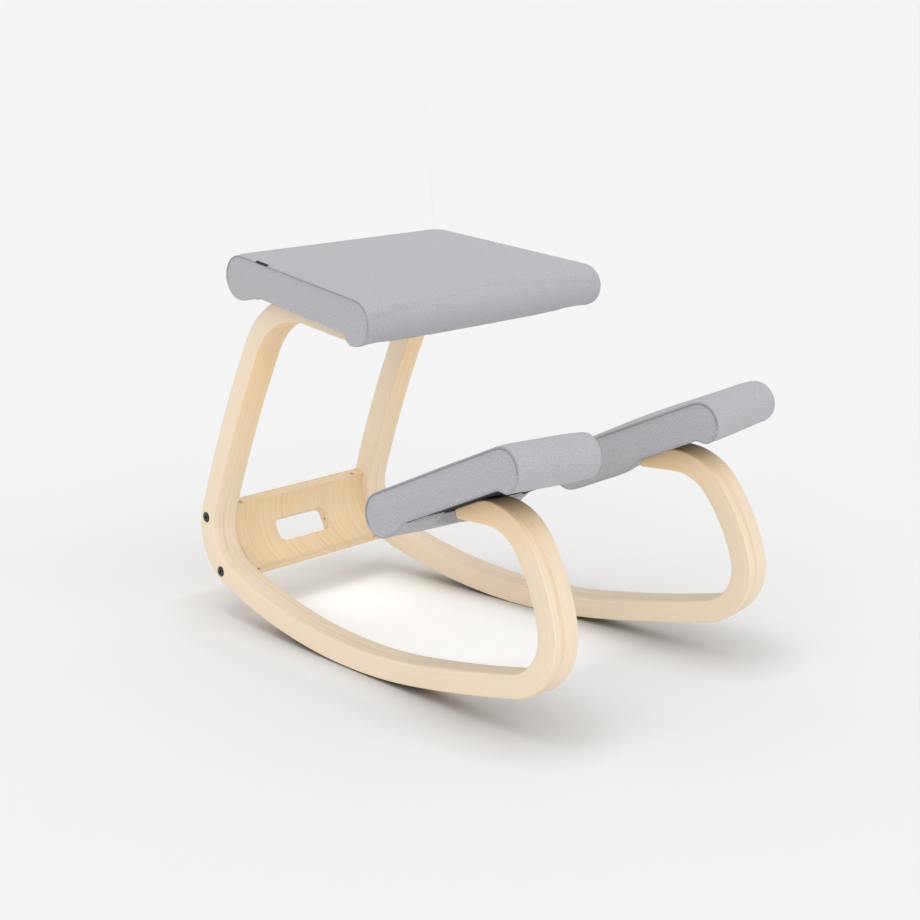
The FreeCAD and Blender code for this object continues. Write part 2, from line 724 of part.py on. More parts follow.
def cushion(word, shape, half_width, widening, crown, step_of, base, board, stations):
    """Board, lining, foam, cover and side panels of one cushion, set in a frame."""
    gap = size("soft_gap")
    cover = size("cover_thickness")
    side_thickness = size("side_panel_thickness")
    lining = size("lining_thickness")
    board_low = base + lining
    board_top = board_low + size("board_thickness")
    rear, front, board_half = board

    def outline_box(name, low_v, high_v, grow):
        """A block with the board's tapered outline."""
        body = doc.addObject("PartDesign::Body", name)
        lift = FreeCAD.Placement(V(0, 0, low_v), FreeCAD.Rotation())
        sketch = new_sketch(body, name + "_outline", "XY_Plane", lift)
        corners = []
        for u, sign in ((rear - grow, -1), (rear - grow, 1), (front + grow, 1), (front + grow, -1)):
            corners.append((sign * (board_half + widening * u + grow), -u))
        for first in range(4):
            p = corners[first]
            q = corners[(first + 1) % 4]
            sketch.addGeometry(Part.LineSegment(V(p[0], p[1], 0), V(q[0], q[1], 0)), False)
        doc.recompute()
        pad = body.newObject("PartDesign::Pad", name + "_block")
        pad.Profile = sketch
        pad.Length = high_v - low_v
        doc.recompute()
        return body

    pieces = {}
    pieces["board"] = outline_box("board_" + word, board_low, board_top, 0.0)
    pieces["lining"] = outline_box("lining_" + word, base, board_low, 0.0)
    pocket = outline_box("board_pocket_" + word, base - POCKET_REACH, board_top + gap, gap)

    foam = doc.addObject("PartDesign::Body", "foam_body_" + word)
    fit = 1.0 - (side_thickness + gap) / half_width
    loft_bodies(foam, "foam_" + word, shape, cover + gap, base + FOAM_HOLLOW, fit, half_width, widening,
                crown, step_of, "PartDesign::AdditiveLoft", FOAM_STATIONS, bevelled=True)
    wrap = doc.addObject("PartDesign::Body", "wrap_body_" + word)
    loft_bodies(wrap, "wrap_" + word, shape, 0.0, shape["recess"], 1.0, half_width, widening,
                crown, step_of, "PartDesign::AdditiveLoft", stations)
    loft_bodies(wrap, "wrap_inside_" + word, shape, cover, shape["recess"] + cover, CUTTER_SPREAD,
                half_width, widening, crown, step_of, "PartDesign::SubtractiveLoft", stations)

    pieces["foam"] = foam
    pieces["wrap"] = wrap
    pieces["pocket"] = pocket
    panels = {}
    for fraction in (-1, 1):
        panel_body = doc.addObject("PartDesign::Body", "side_%s_%d" % (word, fraction))
        sketch = new_sketch(panel_body, "side_outline_%s_%d" % (word, fraction), "YZ_Plane",
                            fan_offset(fraction, half_width, widening))
        outline_pieces = cushion_section(shape, cover + gap, shape["recess"] + cover + gap,
                                         step_of(fraction), 0.0)
        draw(sketch, outline_pieces, lambda p: V(-p[0], p[1], 0))
        doc.recompute()
        pad = panel_body.newObject("PartDesign::Pad", "side_sheet_%s_%d" % (word, fraction))
        pad.Profile = sketch
        pad.Reversed = fraction > 0
        pad.setExpression("Length", "Sizes.side_panel_thickness")
        doc.recompute()
        panels[fraction] = panel_body
    pieces["panels"] = panels
    pieces["board_top"] = board_top
    return pieces


def place_cut(name, base, tools, frame):
    """Set the base in a frame and cut it there; the tools already stand in place."""
    base.Placement = frame
    return cut(name, base, tools)


# Seat
seat_half_rear = size("runner_half_gap") + size("seat_overhang_rear")
seat_half_front = size("runner_half_gap") + size("seat_overhang_front")
seat_widening = (seat_half_front - seat_half_rear) / size("seat_depth")
seat_half = (seat_half_front + seat_half_rear) / 2.0
SEAT_BOARD = (SEAT_BOARD_REAR, SEAT_BOARD_FRONT, seat_half - SEAT_BOARD_MARGIN)
seat = cushion("seat", SEAT_SHAPE, seat_half, seat_widening, size("seat_crown"),
               lambda f: SEAT_SHAPE["rear_step"], SEAT_BASE, SEAT_BOARD, SEAT_STATIONS)
seat_sets = []
for side, word in SIDES:
    seat_sets.append(upholstery_bolts(side, word, seat_placement, SEAT_BOLT_SPOTS, SEAT_BASE,
                                      SEAT_GRIP, seat["board_top"], "seat"))
seat["pocket"].Placement = seat_placement
for key in ("foam", "wrap"):
    finish(place_cut("seat_%s_cut" % key, seat[key], [seat["pocket"]], seat_placement), "seat_" + key)
finish(place_cut("seat_board_cut", seat["board"], seat_sets[0]["board"] + seat_sets[1]["board"],
                 seat_placement), "seat_board")
finish(place_cut("seat_lining_cut", seat["lining"], seat_sets[0]["lining"] + seat_sets[1]["lining"],
                 seat_placement), "seat_lining")
for side, word in SIDES:
    seat["panels"][side].Placement = seat_placement
    finish(seat["panels"][side], "seat_side_" + word)
for key, label in (("bolts", "seat_bolts"), ("washers", "seat_washers"), ("nuts", "seat_tee_nuts")):
    finish(group(label + "_set", seat_sets[0][key] + seat_sets[1][key]), label)

TAG_LENGTH = 25.0
TAG_HEIGHT = 6.0
TAG_THICKNESS = 0.8
TAG_REAR = -94.0
TAG_DROP = 1.5
tag_frame = seat_placement.multiply(FreeCAD.Placement(
    V(-seat_half, 0, 0), FreeCAD.Rotation(UP, math.degrees(math.atan(-seat_widening)))))
tag_top = SEAT_SHAPE["top"] - size("cover_thickness") - TAG_DROP
finish(box("seam_tag_sheet", tag_frame, (-TAG_THICKNESS, -TAG_REAR - TAG_LENGTH, tag_top - TAG_HEIGHT),
           (0.0, -TAG_REAR, tag_top)), "seam_tag")

# Knee pads
KNEE_INBOARD_STEP = -30.0
ARM_RELIEF_REAR = -47.0
ARM_RELIEF_FRONT = 92.0
ARM_RELIEF_GAP = 1.5
ARM_RELIEF_DEPTH = 60.0
ARM_RELIEF_LIFT = 0.2
knee_half = size("knee_pad_width") / 2.0
KNEE_BOARD = (KNEE_BOARD_REAR, KNEE_BOARD_FRONT, knee_half - KNEE_BOARD_MARGIN)
arm_bores = {-1: list(bolt_bores[-1]), 1: list(bolt_bores[1])}
for number, (side, word) in enumerate(SIDES):
    arm_bores[side] += seat_sets[number]["arm"]
for side, word in SIDES:
    frame = knee_placement(side)

    def knee_step(fraction, side=side):
        """The rear lobe reaches further forward on the inboard side."""
        inboard = (1.0 - side * fraction) / 2.0
        return KNEE_SHAPE["rear_step"] + (KNEE_INBOARD_STEP - KNEE_SHAPE["rear_step"]) * inboard

    relief_half = width / 2.0 + ARM_RELIEF_GAP
    relief = box("arm_relief_" + word, frame, (-relief_half, -ARM_RELIEF_FRONT, KNEE_BASE - ARM_RELIEF_DEPTH),
                 (relief_half, -ARM_RELIEF_REAR, KNEE_BASE + ARM_RELIEF_LIFT))
    pad = cushion("knee_" + word, KNEE_SHAPE, knee_half, 0.0, size("knee_crown"),
                  knee_step, KNEE_BASE, KNEE_BOARD, KNEE_STATIONS)
    bolts = upholstery_bolts(side, word, frame, KNEE_BOLT_SPOTS, KNEE_BASE, KNEE_GRIP,
                             pad["board_top"], "knee")
    arm_bores[side] += bolts["arm"]
    pad["pocket"].Placement = frame
    for key in ("foam", "wrap"):
        finish(place_cut("knee_%s_cut_%s" % (key, word), pad[key], [pad["pocket"], relief], frame),
               "knee_%s_%s" % (key, word))
    finish(place_cut("knee_board_cut_" + word, pad["board"], bolts["board"], frame), "knee_board_" + word)
    finish(place_cut("knee_lining_cut_" + word, pad["lining"], bolts["lining"], frame),
           "knee_lining_" + word)
    for panel_side, label in ((side, "knee_side_outer_"), (-side, "knee_side_inner_")):
        pad["panels"][panel_side].Placement = frame
        finish(pad["panels"][panel_side], label + word)
    for key, label in (("bolts", "knee_bolts_"), ("washers", "knee_washers_"), ("nuts", "knee_tee_nuts_")):
        finish(group(label + "set_" + word, bolts[key]), label + word)

# Runners
SEAT_PLANING = 6.0
PLANING_HALF_WIDTH = 260.0
PLANING_FRONT = 130.0
PLANING_REAR = 150.0
for side, word in SIDES:
    body = doc.addObject("PartDesign::Body", "runner_body_" + word)
    sketch = new_sketch(body, "runner_outline_" + word, "YZ_Plane")
    draw(sketch, runner_outline, to_sketch)
    doc.recompute()
    laminate = body.newObject("PartDesign::Pad", "laminate_" + word)
    laminate.Profile = sketch
    laminate.Midplane = True
    laminate.setExpression("Length", "Sizes.runner_width")
    doc.recompute()
    edges = []
    for index, edge in enumerate(laminate.Shape.Edges, start=1):
        xs = [vertex.Point.x for vertex in edge.Vertexes]
        if max(xs) - min(xs) < 0.01:
            edges.append("Edge%d" % index)
    easing = body.newObject("PartDesign::Chamfer", "eased_edges_" + word)
    easing.Base = (laminate, edges)
    easing.setExpression("Size", "Sizes.runner_edge_ease")
    doc.recompute()
    body.Placement = runner_placement(side)
    planing = box("seat_planing_" + word, seat_placement, (-PLANING_HALF_WIDTH, -PLANING_FRONT, SEAT_BASE),
                  (PLANING_HALF_WIDTH, PLANING_REAR, SEAT_BASE + SEAT_PLANING))
    finish(cut("runner_cut_" + word, body, arm_bores[side] + [planing]), "runner_" + word)

doc.recompute()
for item in doc.Objects:
    if "Invalid" in item.State or "Error" in item.State:
        print("state", item.Name, item.State)
os.makedirs("parts", exist_ok=True)
for node in finished:
    shape = node.Shape
    if shape.isNull() or not shape.isValid():
        raise RuntimeError("bad shape: " + node.Label)
    bounds = shape.BoundBox
    print("%-22s solids %d volume %.0f  x %.1f..%.1f y %.1f..%.1f z %.1f..%.1f" % (
        node.Label, len(shape.Solids), shape.Volume, bounds.XMin, bounds.XMax,
        bounds.YMin, bounds.YMax, bounds.ZMin, bounds.ZMax))
    shape.exportStep("parts/%s.step" % node.Label)
print("nodes", len(finished))
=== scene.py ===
import math

import bmesh
import bpy
import numpy as np
from mathutils import Matrix, Vector, geometry, kdtree


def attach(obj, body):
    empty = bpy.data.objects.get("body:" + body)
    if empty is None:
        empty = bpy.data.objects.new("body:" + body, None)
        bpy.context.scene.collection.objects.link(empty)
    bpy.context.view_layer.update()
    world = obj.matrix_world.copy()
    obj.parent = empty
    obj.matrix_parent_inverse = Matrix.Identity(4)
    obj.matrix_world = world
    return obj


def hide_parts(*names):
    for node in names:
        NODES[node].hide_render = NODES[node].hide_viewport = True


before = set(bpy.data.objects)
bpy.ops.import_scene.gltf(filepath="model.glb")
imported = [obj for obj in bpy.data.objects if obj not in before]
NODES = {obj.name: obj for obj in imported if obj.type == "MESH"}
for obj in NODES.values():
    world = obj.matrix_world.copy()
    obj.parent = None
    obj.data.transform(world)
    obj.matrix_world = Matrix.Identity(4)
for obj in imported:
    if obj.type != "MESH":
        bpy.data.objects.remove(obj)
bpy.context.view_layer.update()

MM = 0.001
SIDES = ((-1, "right"), (1, "left"))

# The chair's own measures, in millimetres and degrees as in the drawing. Side view points
# are (along, height), and along runs forward from the rearmost point of a runner.
MIDDLE_ALONG = 350.0
WIDTH = 39.0
THICK = 30.0
HALF = THICK / 2.0
HALF_GAP = 153.8
SPLAY = 3.6
LEAN = 2.3

# A cushion has its own axes: u forward and v up from its origin, turned by its tilt. Its
# base is the height v at which it rests on the runners.
SEAT_TILT = 6.4
SEAT_ORIGIN = (260.0, 500.0)
SEAT_BASE = -37.0
KNEE_TILT = 24.5
KNEE_ORIGIN = (550.0, 300.0)
KNEE_BASE = -31.0

# The middle line of a runner: the straight seat arm, then tangent arcs of (radius, turn)
ARM_LENGTH = 108.0
ARM_HEADING = 180.0 - SEAT_TILT
ARM_RADIUS = 108.0
UPRIGHT_HEADING = 251.9
UPRIGHT_RADIUS = 1900.0
UPRIGHT_TURN = math.degrees(263.0 / UPRIGHT_RADIUS)
REAR_RADIUS, REAR_TURN = 70.2, 89.1
ROCKER_RADIUS, ROCKER_TURN = 816.0, 27.8
FLAT_RADIUS, FLAT_TURN = 2068.0, 5.1
FRONT_RADIUS, FRONT_TURN = 67.9, 90.1
LOOP_RADIUS, LOOP_TURN = 240.0, 23.1
CREST_RADIUS = 75.0
CREST_HEADING = 540.0
CREST_TURN = (CREST_HEADING - UPRIGHT_HEADING - REAR_TURN - ROCKER_TURN - FLAT_TURN - FRONT_TURN
              - LOOP_TURN)
ARCS = (
    (ARM_RADIUS, UPRIGHT_HEADING - UPRIGHT_TURN - ARM_HEADING),
    (UPRIGHT_RADIUS, UPRIGHT_TURN),
    (REAR_RADIUS, REAR_TURN),
    (ROCKER_RADIUS, ROCKER_TURN),
    (FLAT_RADIUS, FLAT_TURN),
    (FRONT_RADIUS, FRONT_TURN),
    (LOOP_RADIUS, LOOP_TURN),
    (CREST_RADIUS, CREST_TURN),
)
REAR_ARC, ROCKER_ARC = 2, 3


def direction(heading):
    return np.array((math.cos(math.radians(heading)), math.sin(math.radians(heading))))


def left_of(heading):
    return np.array((-math.sin(math.radians(heading)), math.cos(math.radians(heading))))


def walk(point, spacing):
    """Points, headings and lengths along the middle of the wood, and the arcs' centres."""
    heading = ARM_HEADING
    points = [np.array(point)]
    headings = [heading]
    lengths = [0.0]
    centres = []
    count = max(2, int(ARM_LENGTH / spacing))
    for n in range(1, count + 1):
        points.append(points[0] + direction(heading) * ARM_LENGTH * n / count)
        headings.append(heading)
        lengths.append(lengths[-1] + ARM_LENGTH / count)
    for radius, turn in ARCS:
        centre = points[-1] + left_of(heading) * radius
        arc = math.radians(turn) * radius
        count = max(6, int(arc / spacing))
        for n in range(1, count + 1):
            here = heading + turn * n / count
            points.append(centre - left_of(here) * radius)
            headings.append(here)
            lengths.append(lengths[-1] + arc / count)
        heading += turn
        centres.append(centre)
    return np.array(points), np.array(headings), np.array(lengths), centres


# A first walk from zero gives the start that puts the rearmost and lowest points at zero
_, _, _, trial = walk((0.0, 0.0), spacing=20.0)
START = (REAR_RADIUS + HALF - trial[REAR_ARC][0], ROCKER_RADIUS + HALF - trial[ROCKER_ARC][1])
POINTS, HEADINGS, LENGTHS, CENTRES = walk(START, spacing=5.0)
REAR_CENTRE = CENTRES[REAR_ARC]


# Placements, in metres
def runner_matrix(side):
    splay = Matrix.Rotation(math.radians(side * SPLAY), 4, "Z")
    lean = Matrix.Rotation(math.radians(-side * LEAN), 4, "Y")
    lift = math.sin(math.radians(LEAN)) * WIDTH / 2.0
    out = side * (HALF_GAP + WIDTH / 2.0)
    return Matrix.Translation((out * MM, 0, lift * MM)) @ (splay @ lean)


def place(origin, tilt):
    shift = Matrix.Translation((0, (MIDDLE_ALONG - origin[0]) * MM, origin[1] * MM))
    return shift @ Matrix.Rotation(math.radians(tilt), 4, "X")


SEAT_MATRIX = place(SEAT_ORIGIN, SEAT_TILT)


def knee_matrix(side):
    return runner_matrix(side) @ place(KNEE_ORIGIN, -KNEE_TILT)


# Materials
SOCKETS = {
    "colour": "Base Color", "rough": "Roughness", "metal": "Metallic",
    "specular": "Specular IOR Level", "sheen": "Sheen Weight", "sheen_rough": "Sheen Roughness",
    "coat": "Coat Weight", "coat_rough": "Coat Roughness",
}


class Shader:
    """Short-hand for building a node material."""

    def __init__(self, name):
        self.material = bpy.data.materials.new(name)
        self.material.use_nodes = True
        self.tree = self.material.node_tree
        self.tree.nodes.clear()
        self.out = self.tree.nodes.new("ShaderNodeOutputMaterial")
        self.bsdf = self.tree.nodes.new("ShaderNodeBsdfPrincipled")
        self.tree.links.new(self.bsdf.outputs[0], self.out.inputs[0])

    def link(self, source, socket):
        if isinstance(source, (int, float, tuple, list)):
            socket.default_value = source
        else:
            self.tree.links.new(source, socket)

    def uv(self, name):
        node = self.tree.nodes.new("ShaderNodeUVMap")
        node.uv_map = name
        return node.outputs[0]

    def position(self):
        return self.tree.nodes.new("ShaderNodeTexCoord").outputs["Object"]

    def split(self, vector):
        node = self.tree.nodes.new("ShaderNodeSeparateXYZ")
        self.link(vector, node.inputs[0])
        return node.outputs

    def join(self, x, y, z=0.0):
        node = self.tree.nodes.new("ShaderNodeCombineXYZ")
        for socket, value in zip(node.inputs, (x, y, z)):
            self.link(value, socket)
        return node.outputs[0]

    def math(self, operation, a, b=0.0, c=0.0):
        node = self.tree.nodes.new("ShaderNodeMath")
        node.operation = operation
        for socket, value in zip(node.inputs, (a, b, c)):
            self.link(value, socket)
        return node.outputs[0]

    def noise(self, vector, scale, detail, rough):
        node = self.tree.nodes.new("ShaderNodeTexNoise")
        self.link(vector, node.inputs["Vector"])
        node.inputs["Scale"].default_value = scale
        node.inputs["Detail"].default_value = detail
        node.inputs["Roughness"].default_value = rough
        return node.outputs[0]

    def cell(self, value):
        """A random number for each whole number."""
        node = self.tree.nodes.new("ShaderNodeTexWhiteNoise")
        node.noise_dimensions = "1D"
        self.link(value, node.inputs["W"])
        return node.outputs[0]

    def ramp(self, value, stops):
        node = self.tree.nodes.new("ShaderNodeValToRGB")
        self.link(value, node.inputs[0])
        ramp = node.color_ramp
        while len(ramp.elements) < len(stops):
            ramp.elements.new(0.5)
        for element, (position, colour) in zip(ramp.elements, stops):
            element.position = position
            element.color = (*colour, 1.0)
        return node.outputs[0]

    def range(self, value, low, high, to_low=0.0, to_high=1.0):
        node = self.tree.nodes.new("ShaderNodeMapRange")
        for socket, number in zip(node.inputs[:5], (value, low, high, to_low, to_high)):
            self.link(number, socket)
        return node.outputs[0]

    def mix(self, factor, a, b, blend="MIX"):
        node = self.tree.nodes.new("ShaderNodeMix")
        node.data_type = "RGBA"
        node.blend_type = blend
        self.link(factor, node.inputs[0])
        for colour, socket in ((a, node.inputs[6]), (b, node.inputs[7])):
            self.link((*colour, 1.0) if isinstance(colour, tuple) else colour, socket)
        return node.outputs[2]

    def multiply(self, a, b):
        return self.mix(1.0, a, b, "MULTIPLY")

    def bump(self, height, distance, strength):
        node = self.tree.nodes.new("ShaderNodeBump")
        node.inputs["Strength"].default_value = strength
        node.inputs["Distance"].default_value = distance
        self.link(height, node.inputs["Height"])
        self.link(node.outputs[0], self.bsdf.inputs["Normal"])

    def set(self, **values):
        for key, value in values.items():
            self.link(value, self.bsdf.inputs[SOCKETS[key]])


# Wood colours
PALE = (0.845, 0.700, 0.520)
HONEY = (0.740, 0.545, 0.345)
LIGHT = (0.890, 0.770, 0.600)
EDGE = (0.860, 0.725, 0.550)
GLUE = (0.62, 0.45, 0.28)

# Tints that a wood colour is multiplied by
# The first tint is painted shade: the warmer tone of wood that lies in shade under the cushions
WARM_SHADE_TINT = (1.160, 1.010, 0.800)
PANEL_TINT = (1.0, 0.935, 0.80)
BOARD_TINT = (0.80, 0.76, 0.70)

# Streaks in the wood: how fast they change along and across the grain, per metre, then
# the noise's detail and roughness, and the share in the colour. The drift bends the others
# sideways by up to WANDER, in metres.
DRIFT = (2.2, 14.0, 2.0, 0.5)
BANDS, BANDS_SHARE = (1.6, 210.0, 3.0, 0.55), 0.38
FINE, FINE_SHARE = (5.0, 720.0, 2.0, 0.6), 0.46
BROAD, BROAD_SHARE = (1.1, 45.0, 1.0, 0.5), 0.16
WANDER = 0.018

# The step in the noise from ply to ply, the noise's reach either side of its middle that
# runs from HONEY to LIGHT at a contrast of 1, and where PALE lies between them
LAYER_STEP = 7.31
COLOUR_REACH = 0.20
PALE_AT = 0.42

# Seed and contrast of the grain in each piece
RUNNER_GRAIN = (3.0, 1.15)
PANEL_GRAIN = (11.0, 1.5)
BOARD_GRAIN = (23.0, 1.0)

# Metres from here on
PLY = 0.0015
BOARD_PLY = 0.0014
PANEL_INNER_RADIUS = 0.0658
PANEL_MIDDLE_RADIUS = 0.0733
SIDE_FROM, SIDE_TO = 0.0184, 0.0193
# Painted shade: where the warm shade along the seat arm and upright fades out, how warm it gets,
# and its length at the knee arm's end
REAR_SHADE_FROM, REAR_SHADE_TO, REAR_SHADE_WARMTH = 0.30, 0.48, 0.8
FRONT_SHADE_LENGTH = 0.10

# On the two sides: how far the colour goes to EDGE, how far from a ply's middle its glue
# line begins, where 0.5 is the ply's border, and how strong that line gets
EDGE_SHARE = 0.72
GLUE_FROM, GLUE_SHARE = 0.36, 0.16


def grain_colour(shader, along, across, ply, seed, contrast):
    """Streaky wood colour from coordinates in metres; ply tells the layers apart."""
    layer = shader.math("ADD", shader.math("MULTIPLY", ply, LAYER_STEP), seed)

    def streaks(sideways, along_rate, across_rate, detail, rough):
        spot = shader.join(shader.math("MULTIPLY", along, along_rate),
                           shader.math("MULTIPLY", sideways, across_rate), layer)
        return shader.noise(spot, 1.0, detail, rough)

    drift = streaks(across, *DRIFT)
    wander = shader.math("MULTIPLY_ADD", drift, WANDER, across)
    fine = streaks(wander, *FINE)
    mixed = shader.math("ADD", shader.math("MULTIPLY", streaks(wander, *BANDS), BANDS_SHARE),
                        shader.math("MULTIPLY", fine, FINE_SHARE))
    mixed = shader.math("MULTIPLY_ADD", streaks(wander, *BROAD), BROAD_SHARE, mixed)
    reach = COLOUR_REACH / contrast
    factor = shader.range(mixed, 0.5 - reach, 0.5 + reach)
    tone = shader.ramp(factor, ((0.0, HONEY), (PALE_AT, PALE), (1.0, LIGHT)))
    return tone, mixed, fine


def ply_tone(shader, tone, index, low, high):
    """Gives each ply a slightly different brightness."""
    shade = shader.range(shader.cell(index), 0.0, 1.0, low, high)
    return shader.multiply(tone, shader.join(shade, shade, shade))


def runner_material():
    """Laminated wood: face grain outside and inside, the plies' edges on the two sides."""
    shader = Shader("laminated_ash")
    along, depth, _ = shader.split(shader.uv("grain"))
    across, _, _ = shader.split(shader.uv("cross"))
    level = shader.math("ADD", shader.math("DIVIDE", depth, PLY), 0.5)
    index = shader.math("FLOOR", level)
    tone, mixed, fine = grain_colour(shader, along, across, index, *RUNNER_GRAIN)

    # beside is 1 on the two sides and 0 on the faces
    beside = shader.range(shader.math("ABSOLUTE", across), SIDE_FROM, SIDE_TO)
    tone = shader.mix(shader.math("MULTIPLY", beside, EDGE_SHARE), tone, EDGE)
    plied = ply_tone(shader, tone, index, 0.982, 1.01)
    to_middle = shader.math("ABSOLUTE", shader.math("SUBTRACT", shader.math("FRACT", level), 0.5))
    glue = shader.range(to_middle, GLUE_FROM, 0.5, 0.0, GLUE_SHARE)
    glue = shader.math("MULTIPLY", glue, beside)
    jointed = shader.mix(glue, plied, GLUE)

    # Painted shade: warmer are the faces of the seat arm and the upper upright, and all of the
    # crest and the
    #     knee arm, where shade falls under the cushions
    rear_shade = shader.range(along, REAR_SHADE_FROM, REAR_SHADE_TO, REAR_SHADE_WARMTH, 0.0)
    rear_shade = shader.math("MULTIPLY", rear_shade, shader.math("SUBTRACT", 1.0, beside))
    crest = LENGTHS[-1] * MM
    front_shade = shader.range(along, crest - FRONT_SHADE_LENGTH, crest)
    painted_shade = shader.math("MAXIMUM", rear_shade, front_shade)
    colour = shader.mix(painted_shade, jointed, shader.multiply(jointed, WARM_SHADE_TINT))
    shader.set(colour=colour, rough=shader.range(mixed, 0.3, 0.7, 0.46, 0.38),
               specular=0.35, coat=0.10, coat_rough=0.35)
    height = shader.math("ADD", shader.math("MULTIPLY", fine, 0.6),
                         shader.math("MULTIPLY", glue, -1.2))
    shader.bump(height, 0.00012, 0.5)
    return shader.material


def panel_material():
    """Bent plywood: the face grain runs round the bend, the edges show the plies."""
    shader = Shader("bent_plywood")
    x, y, z = shader.split(shader.position())
    dy = shader.math("SUBTRACT", y, (MIDDLE_ALONG - REAR_CENTRE[0]) * MM)
    dz = shader.math("SUBTRACT", z, REAR_CENTRE[1] * MM)
    squares = shader.math("ADD", shader.math("MULTIPLY", dy, dy), shader.math("MULTIPLY", dz, dz))
    radius = shader.math("SQRT", squares)
    along = shader.math("MULTIPLY", shader.math("ARCTAN2", dz, dy), PANEL_MIDDLE_RADIUS)
    depth = shader.math("SUBTRACT", radius, PANEL_INNER_RADIUS)
    index = shader.math("FLOOR", shader.math("ADD", shader.math("DIVIDE", depth, PLY), 0.5))
    tone, mixed, fine = grain_colour(shader, along, x, index, *PANEL_GRAIN)
    plied = ply_tone(shader, shader.multiply(tone, PANEL_TINT), index, 0.95, 1.04)
    shader.set(colour=plied, rough=shader.range(mixed, 0.3, 0.7, 0.44, 0.34),
               specular=0.4, coat=0.15, coat_rough=0.3)
    shader.bump(fine, 0.0001, 0.4)
    return shader.material


def board_material():
    """Birch plywood board seen from below and at its edges."""
    shader = Shader("birch_board")
    x, y, z = shader.split(shader.position())
    index = shader.math("FLOOR", shader.math("DIVIDE", z, BOARD_PLY))
    tone, _, fine = grain_colour(shader, y, x, index, *BOARD_GRAIN)
    shader.set(colour=shader.multiply(tone, BOARD_TINT), rough=0.6, specular=0.3)
    shader.bump(fine, 0.0001, 0.4)
    return shader.material


YARN = 0.0011
YARNS_PER_METRE = 2.0 * math.pi / YARN
HEATHER = (620.0, 3.0, 0.75)
CLOUDY = (60.0, 2.0, 0.5)
HEATHER_STOPS = ((0.36, (0.330, 0.330, 0.356)), (0.54, (0.455, 0.452, 0.484)),
                 (0.74, (0.585, 0.580, 0.615)))
# Painted shade: the seams are darkened to stand in for the shade in their grooves
SEAM_SHADE_COLOUR = (0.13, 0.13, 0.14)
SEAM_SHADE_STRENGTH = 0.75
LINING_COLOUR = (0.022, 0.022, 0.024)


def cloth_material(name):
    """Matte wool-like weave with heathered yarns, painted shade in the seams and a lined recess."""
    shader = Shader(name)
    u, v, _ = shader.split(shader.uv("weave"))
    base = shader.join(u, v)
    heather = shader.noise(base, *HEATHER)
    cloudy = shader.noise(base, *CLOUDY)
    weave = shader.math("MULTIPLY", *(
        shader.math("SINE", shader.math("MULTIPLY", way, YARNS_PER_METRE)) for way in (u, v)))
    level = shader.math("MULTIPLY_ADD", cloudy, 0.05, heather)
    level = shader.math("MULTIPLY_ADD", weave, 0.05, level)
    colour = shader.ramp(level, HEATHER_STOPS)
    # The first number darkens the seams as painted shade, the second marks the black lining
    seam_shade, lined, _ = shader.split(shader.uv("crease"))
    colour = shader.mix(shader.math("MULTIPLY", seam_shade, SEAM_SHADE_STRENGTH), colour, SEAM_SHADE_COLOUR)
    colour = shader.mix(shader.range(lined, 0.45, 0.55), colour, LINING_COLOUR)
    shader.set(colour=colour, rough=0.92, specular=0.12, sheen=0.25, sheen_rough=0.5)
    shader.bump(shader.math("MULTIPLY_ADD", weave, 0.5, heather), 0.00022, 0.45)
    return shader.material


def plain_material(name, colour, rough, metal=0.0, scale=900.0, bump=0.00003, specular=0.4):
    """A solid finish with a little unevenness in its tone and surface."""
    shader = Shader(name)
    speck = shader.noise(shader.position(), scale, 3.0, 0.6)
    low = tuple(c * 0.82 for c in colour)
    high = tuple(min(1.0, c * 1.15) for c in colour)
    shader.set(colour=shader.ramp(speck, ((0.3, low), (0.7, high))), rough=rough, metal=metal,
               specular=specular)
    shader.bump(speck, bump, 0.5)
    return shader.material


WOOD = runner_material()
PANEL = panel_material()
CLOTH = cloth_material("grey_cloth")
BOARD = board_material()
LINING = plain_material("black_lining", LINING_COLOUR, 0.9, scale=2500.0, bump=0.0001, specular=0.2)
TAPE = plain_material("black_tape", (0.012, 0.012, 0.013), 0.6, scale=3000.0)
BLACK_STEEL = plain_material("black_steel", (0.020, 0.020, 0.022), 0.38, scale=1500.0, specular=0.5)
ZINC = plain_material("zinc_steel", (0.62, 0.62, 0.60), 0.35, metal=1.0, scale=700.0)


# Mesh helpers
def new_object(name, vertices, faces, material, smooth=True):
    mesh = bpy.data.meshes.new(name)
    mesh.from_pydata([tuple(v) for v in vertices], [], faces)
    mesh.materials.append(material)
    mesh.validate(clean_customdata=False)
    if smooth:
        for polygon in mesh.polygons:
            polygon.use_smooth = True
    obj = bpy.data.objects.new(name, mesh)
    bpy.context.scene.collection.objects.link(obj)
    return obj


def strip_faces(rows, count):
    """Quads between rows of count points each, every row being a closed ring."""
    faces = []
    for k in range(rows - 1):
        for n in range(count):
            m = (n + 1) % count
            faces.append((k * count + n, k * count + m, (k + 1) * count + m, (k + 1) * count + n))
    return faces


def end_faces(rows, count):
    """The two faces that close a strip's first and last ring."""
    return [tuple(reversed(range(count))), tuple(range((rows - 1) * count, rows * count))]


def set_uv(obj, name, values):
    """A UV layer from one pair of numbers for each vertex."""
    layer = obj.data.uv_layers.new(name=name)
    for loop in obj.data.loops:
        layer.data[loop.index].uv = values[loop.vertex_index]


def apply_modifiers(obj):
    """Bake the modifier stack into the mesh."""
    depsgraph = bpy.context.evaluated_depsgraph_get()
    mesh = bpy.data.meshes.new_from_object(
        obj.evaluated_get(depsgraph), preserve_all_data_layers=True, depsgraph=depsgraph)
    obj.modifiers.clear()
    obj.data = mesh


def recalc(obj):
    """Turns all faces outward."""
    bm = bmesh.new()
    bm.from_mesh(obj.data)
    bmesh.ops.recalc_face_normals(bm, faces=bm.faces)
    bm.to_mesh(obj.data)
    bm.free()


def cut(obj, cutter):
    modifier = obj.modifiers.new("cut", "BOOLEAN")
    modifier.operation = "DIFFERENCE"
    modifier.solver = "EXACT"
    modifier.object = cutter
    apply_modifiers(obj)
    bpy.data.objects.remove(cutter)


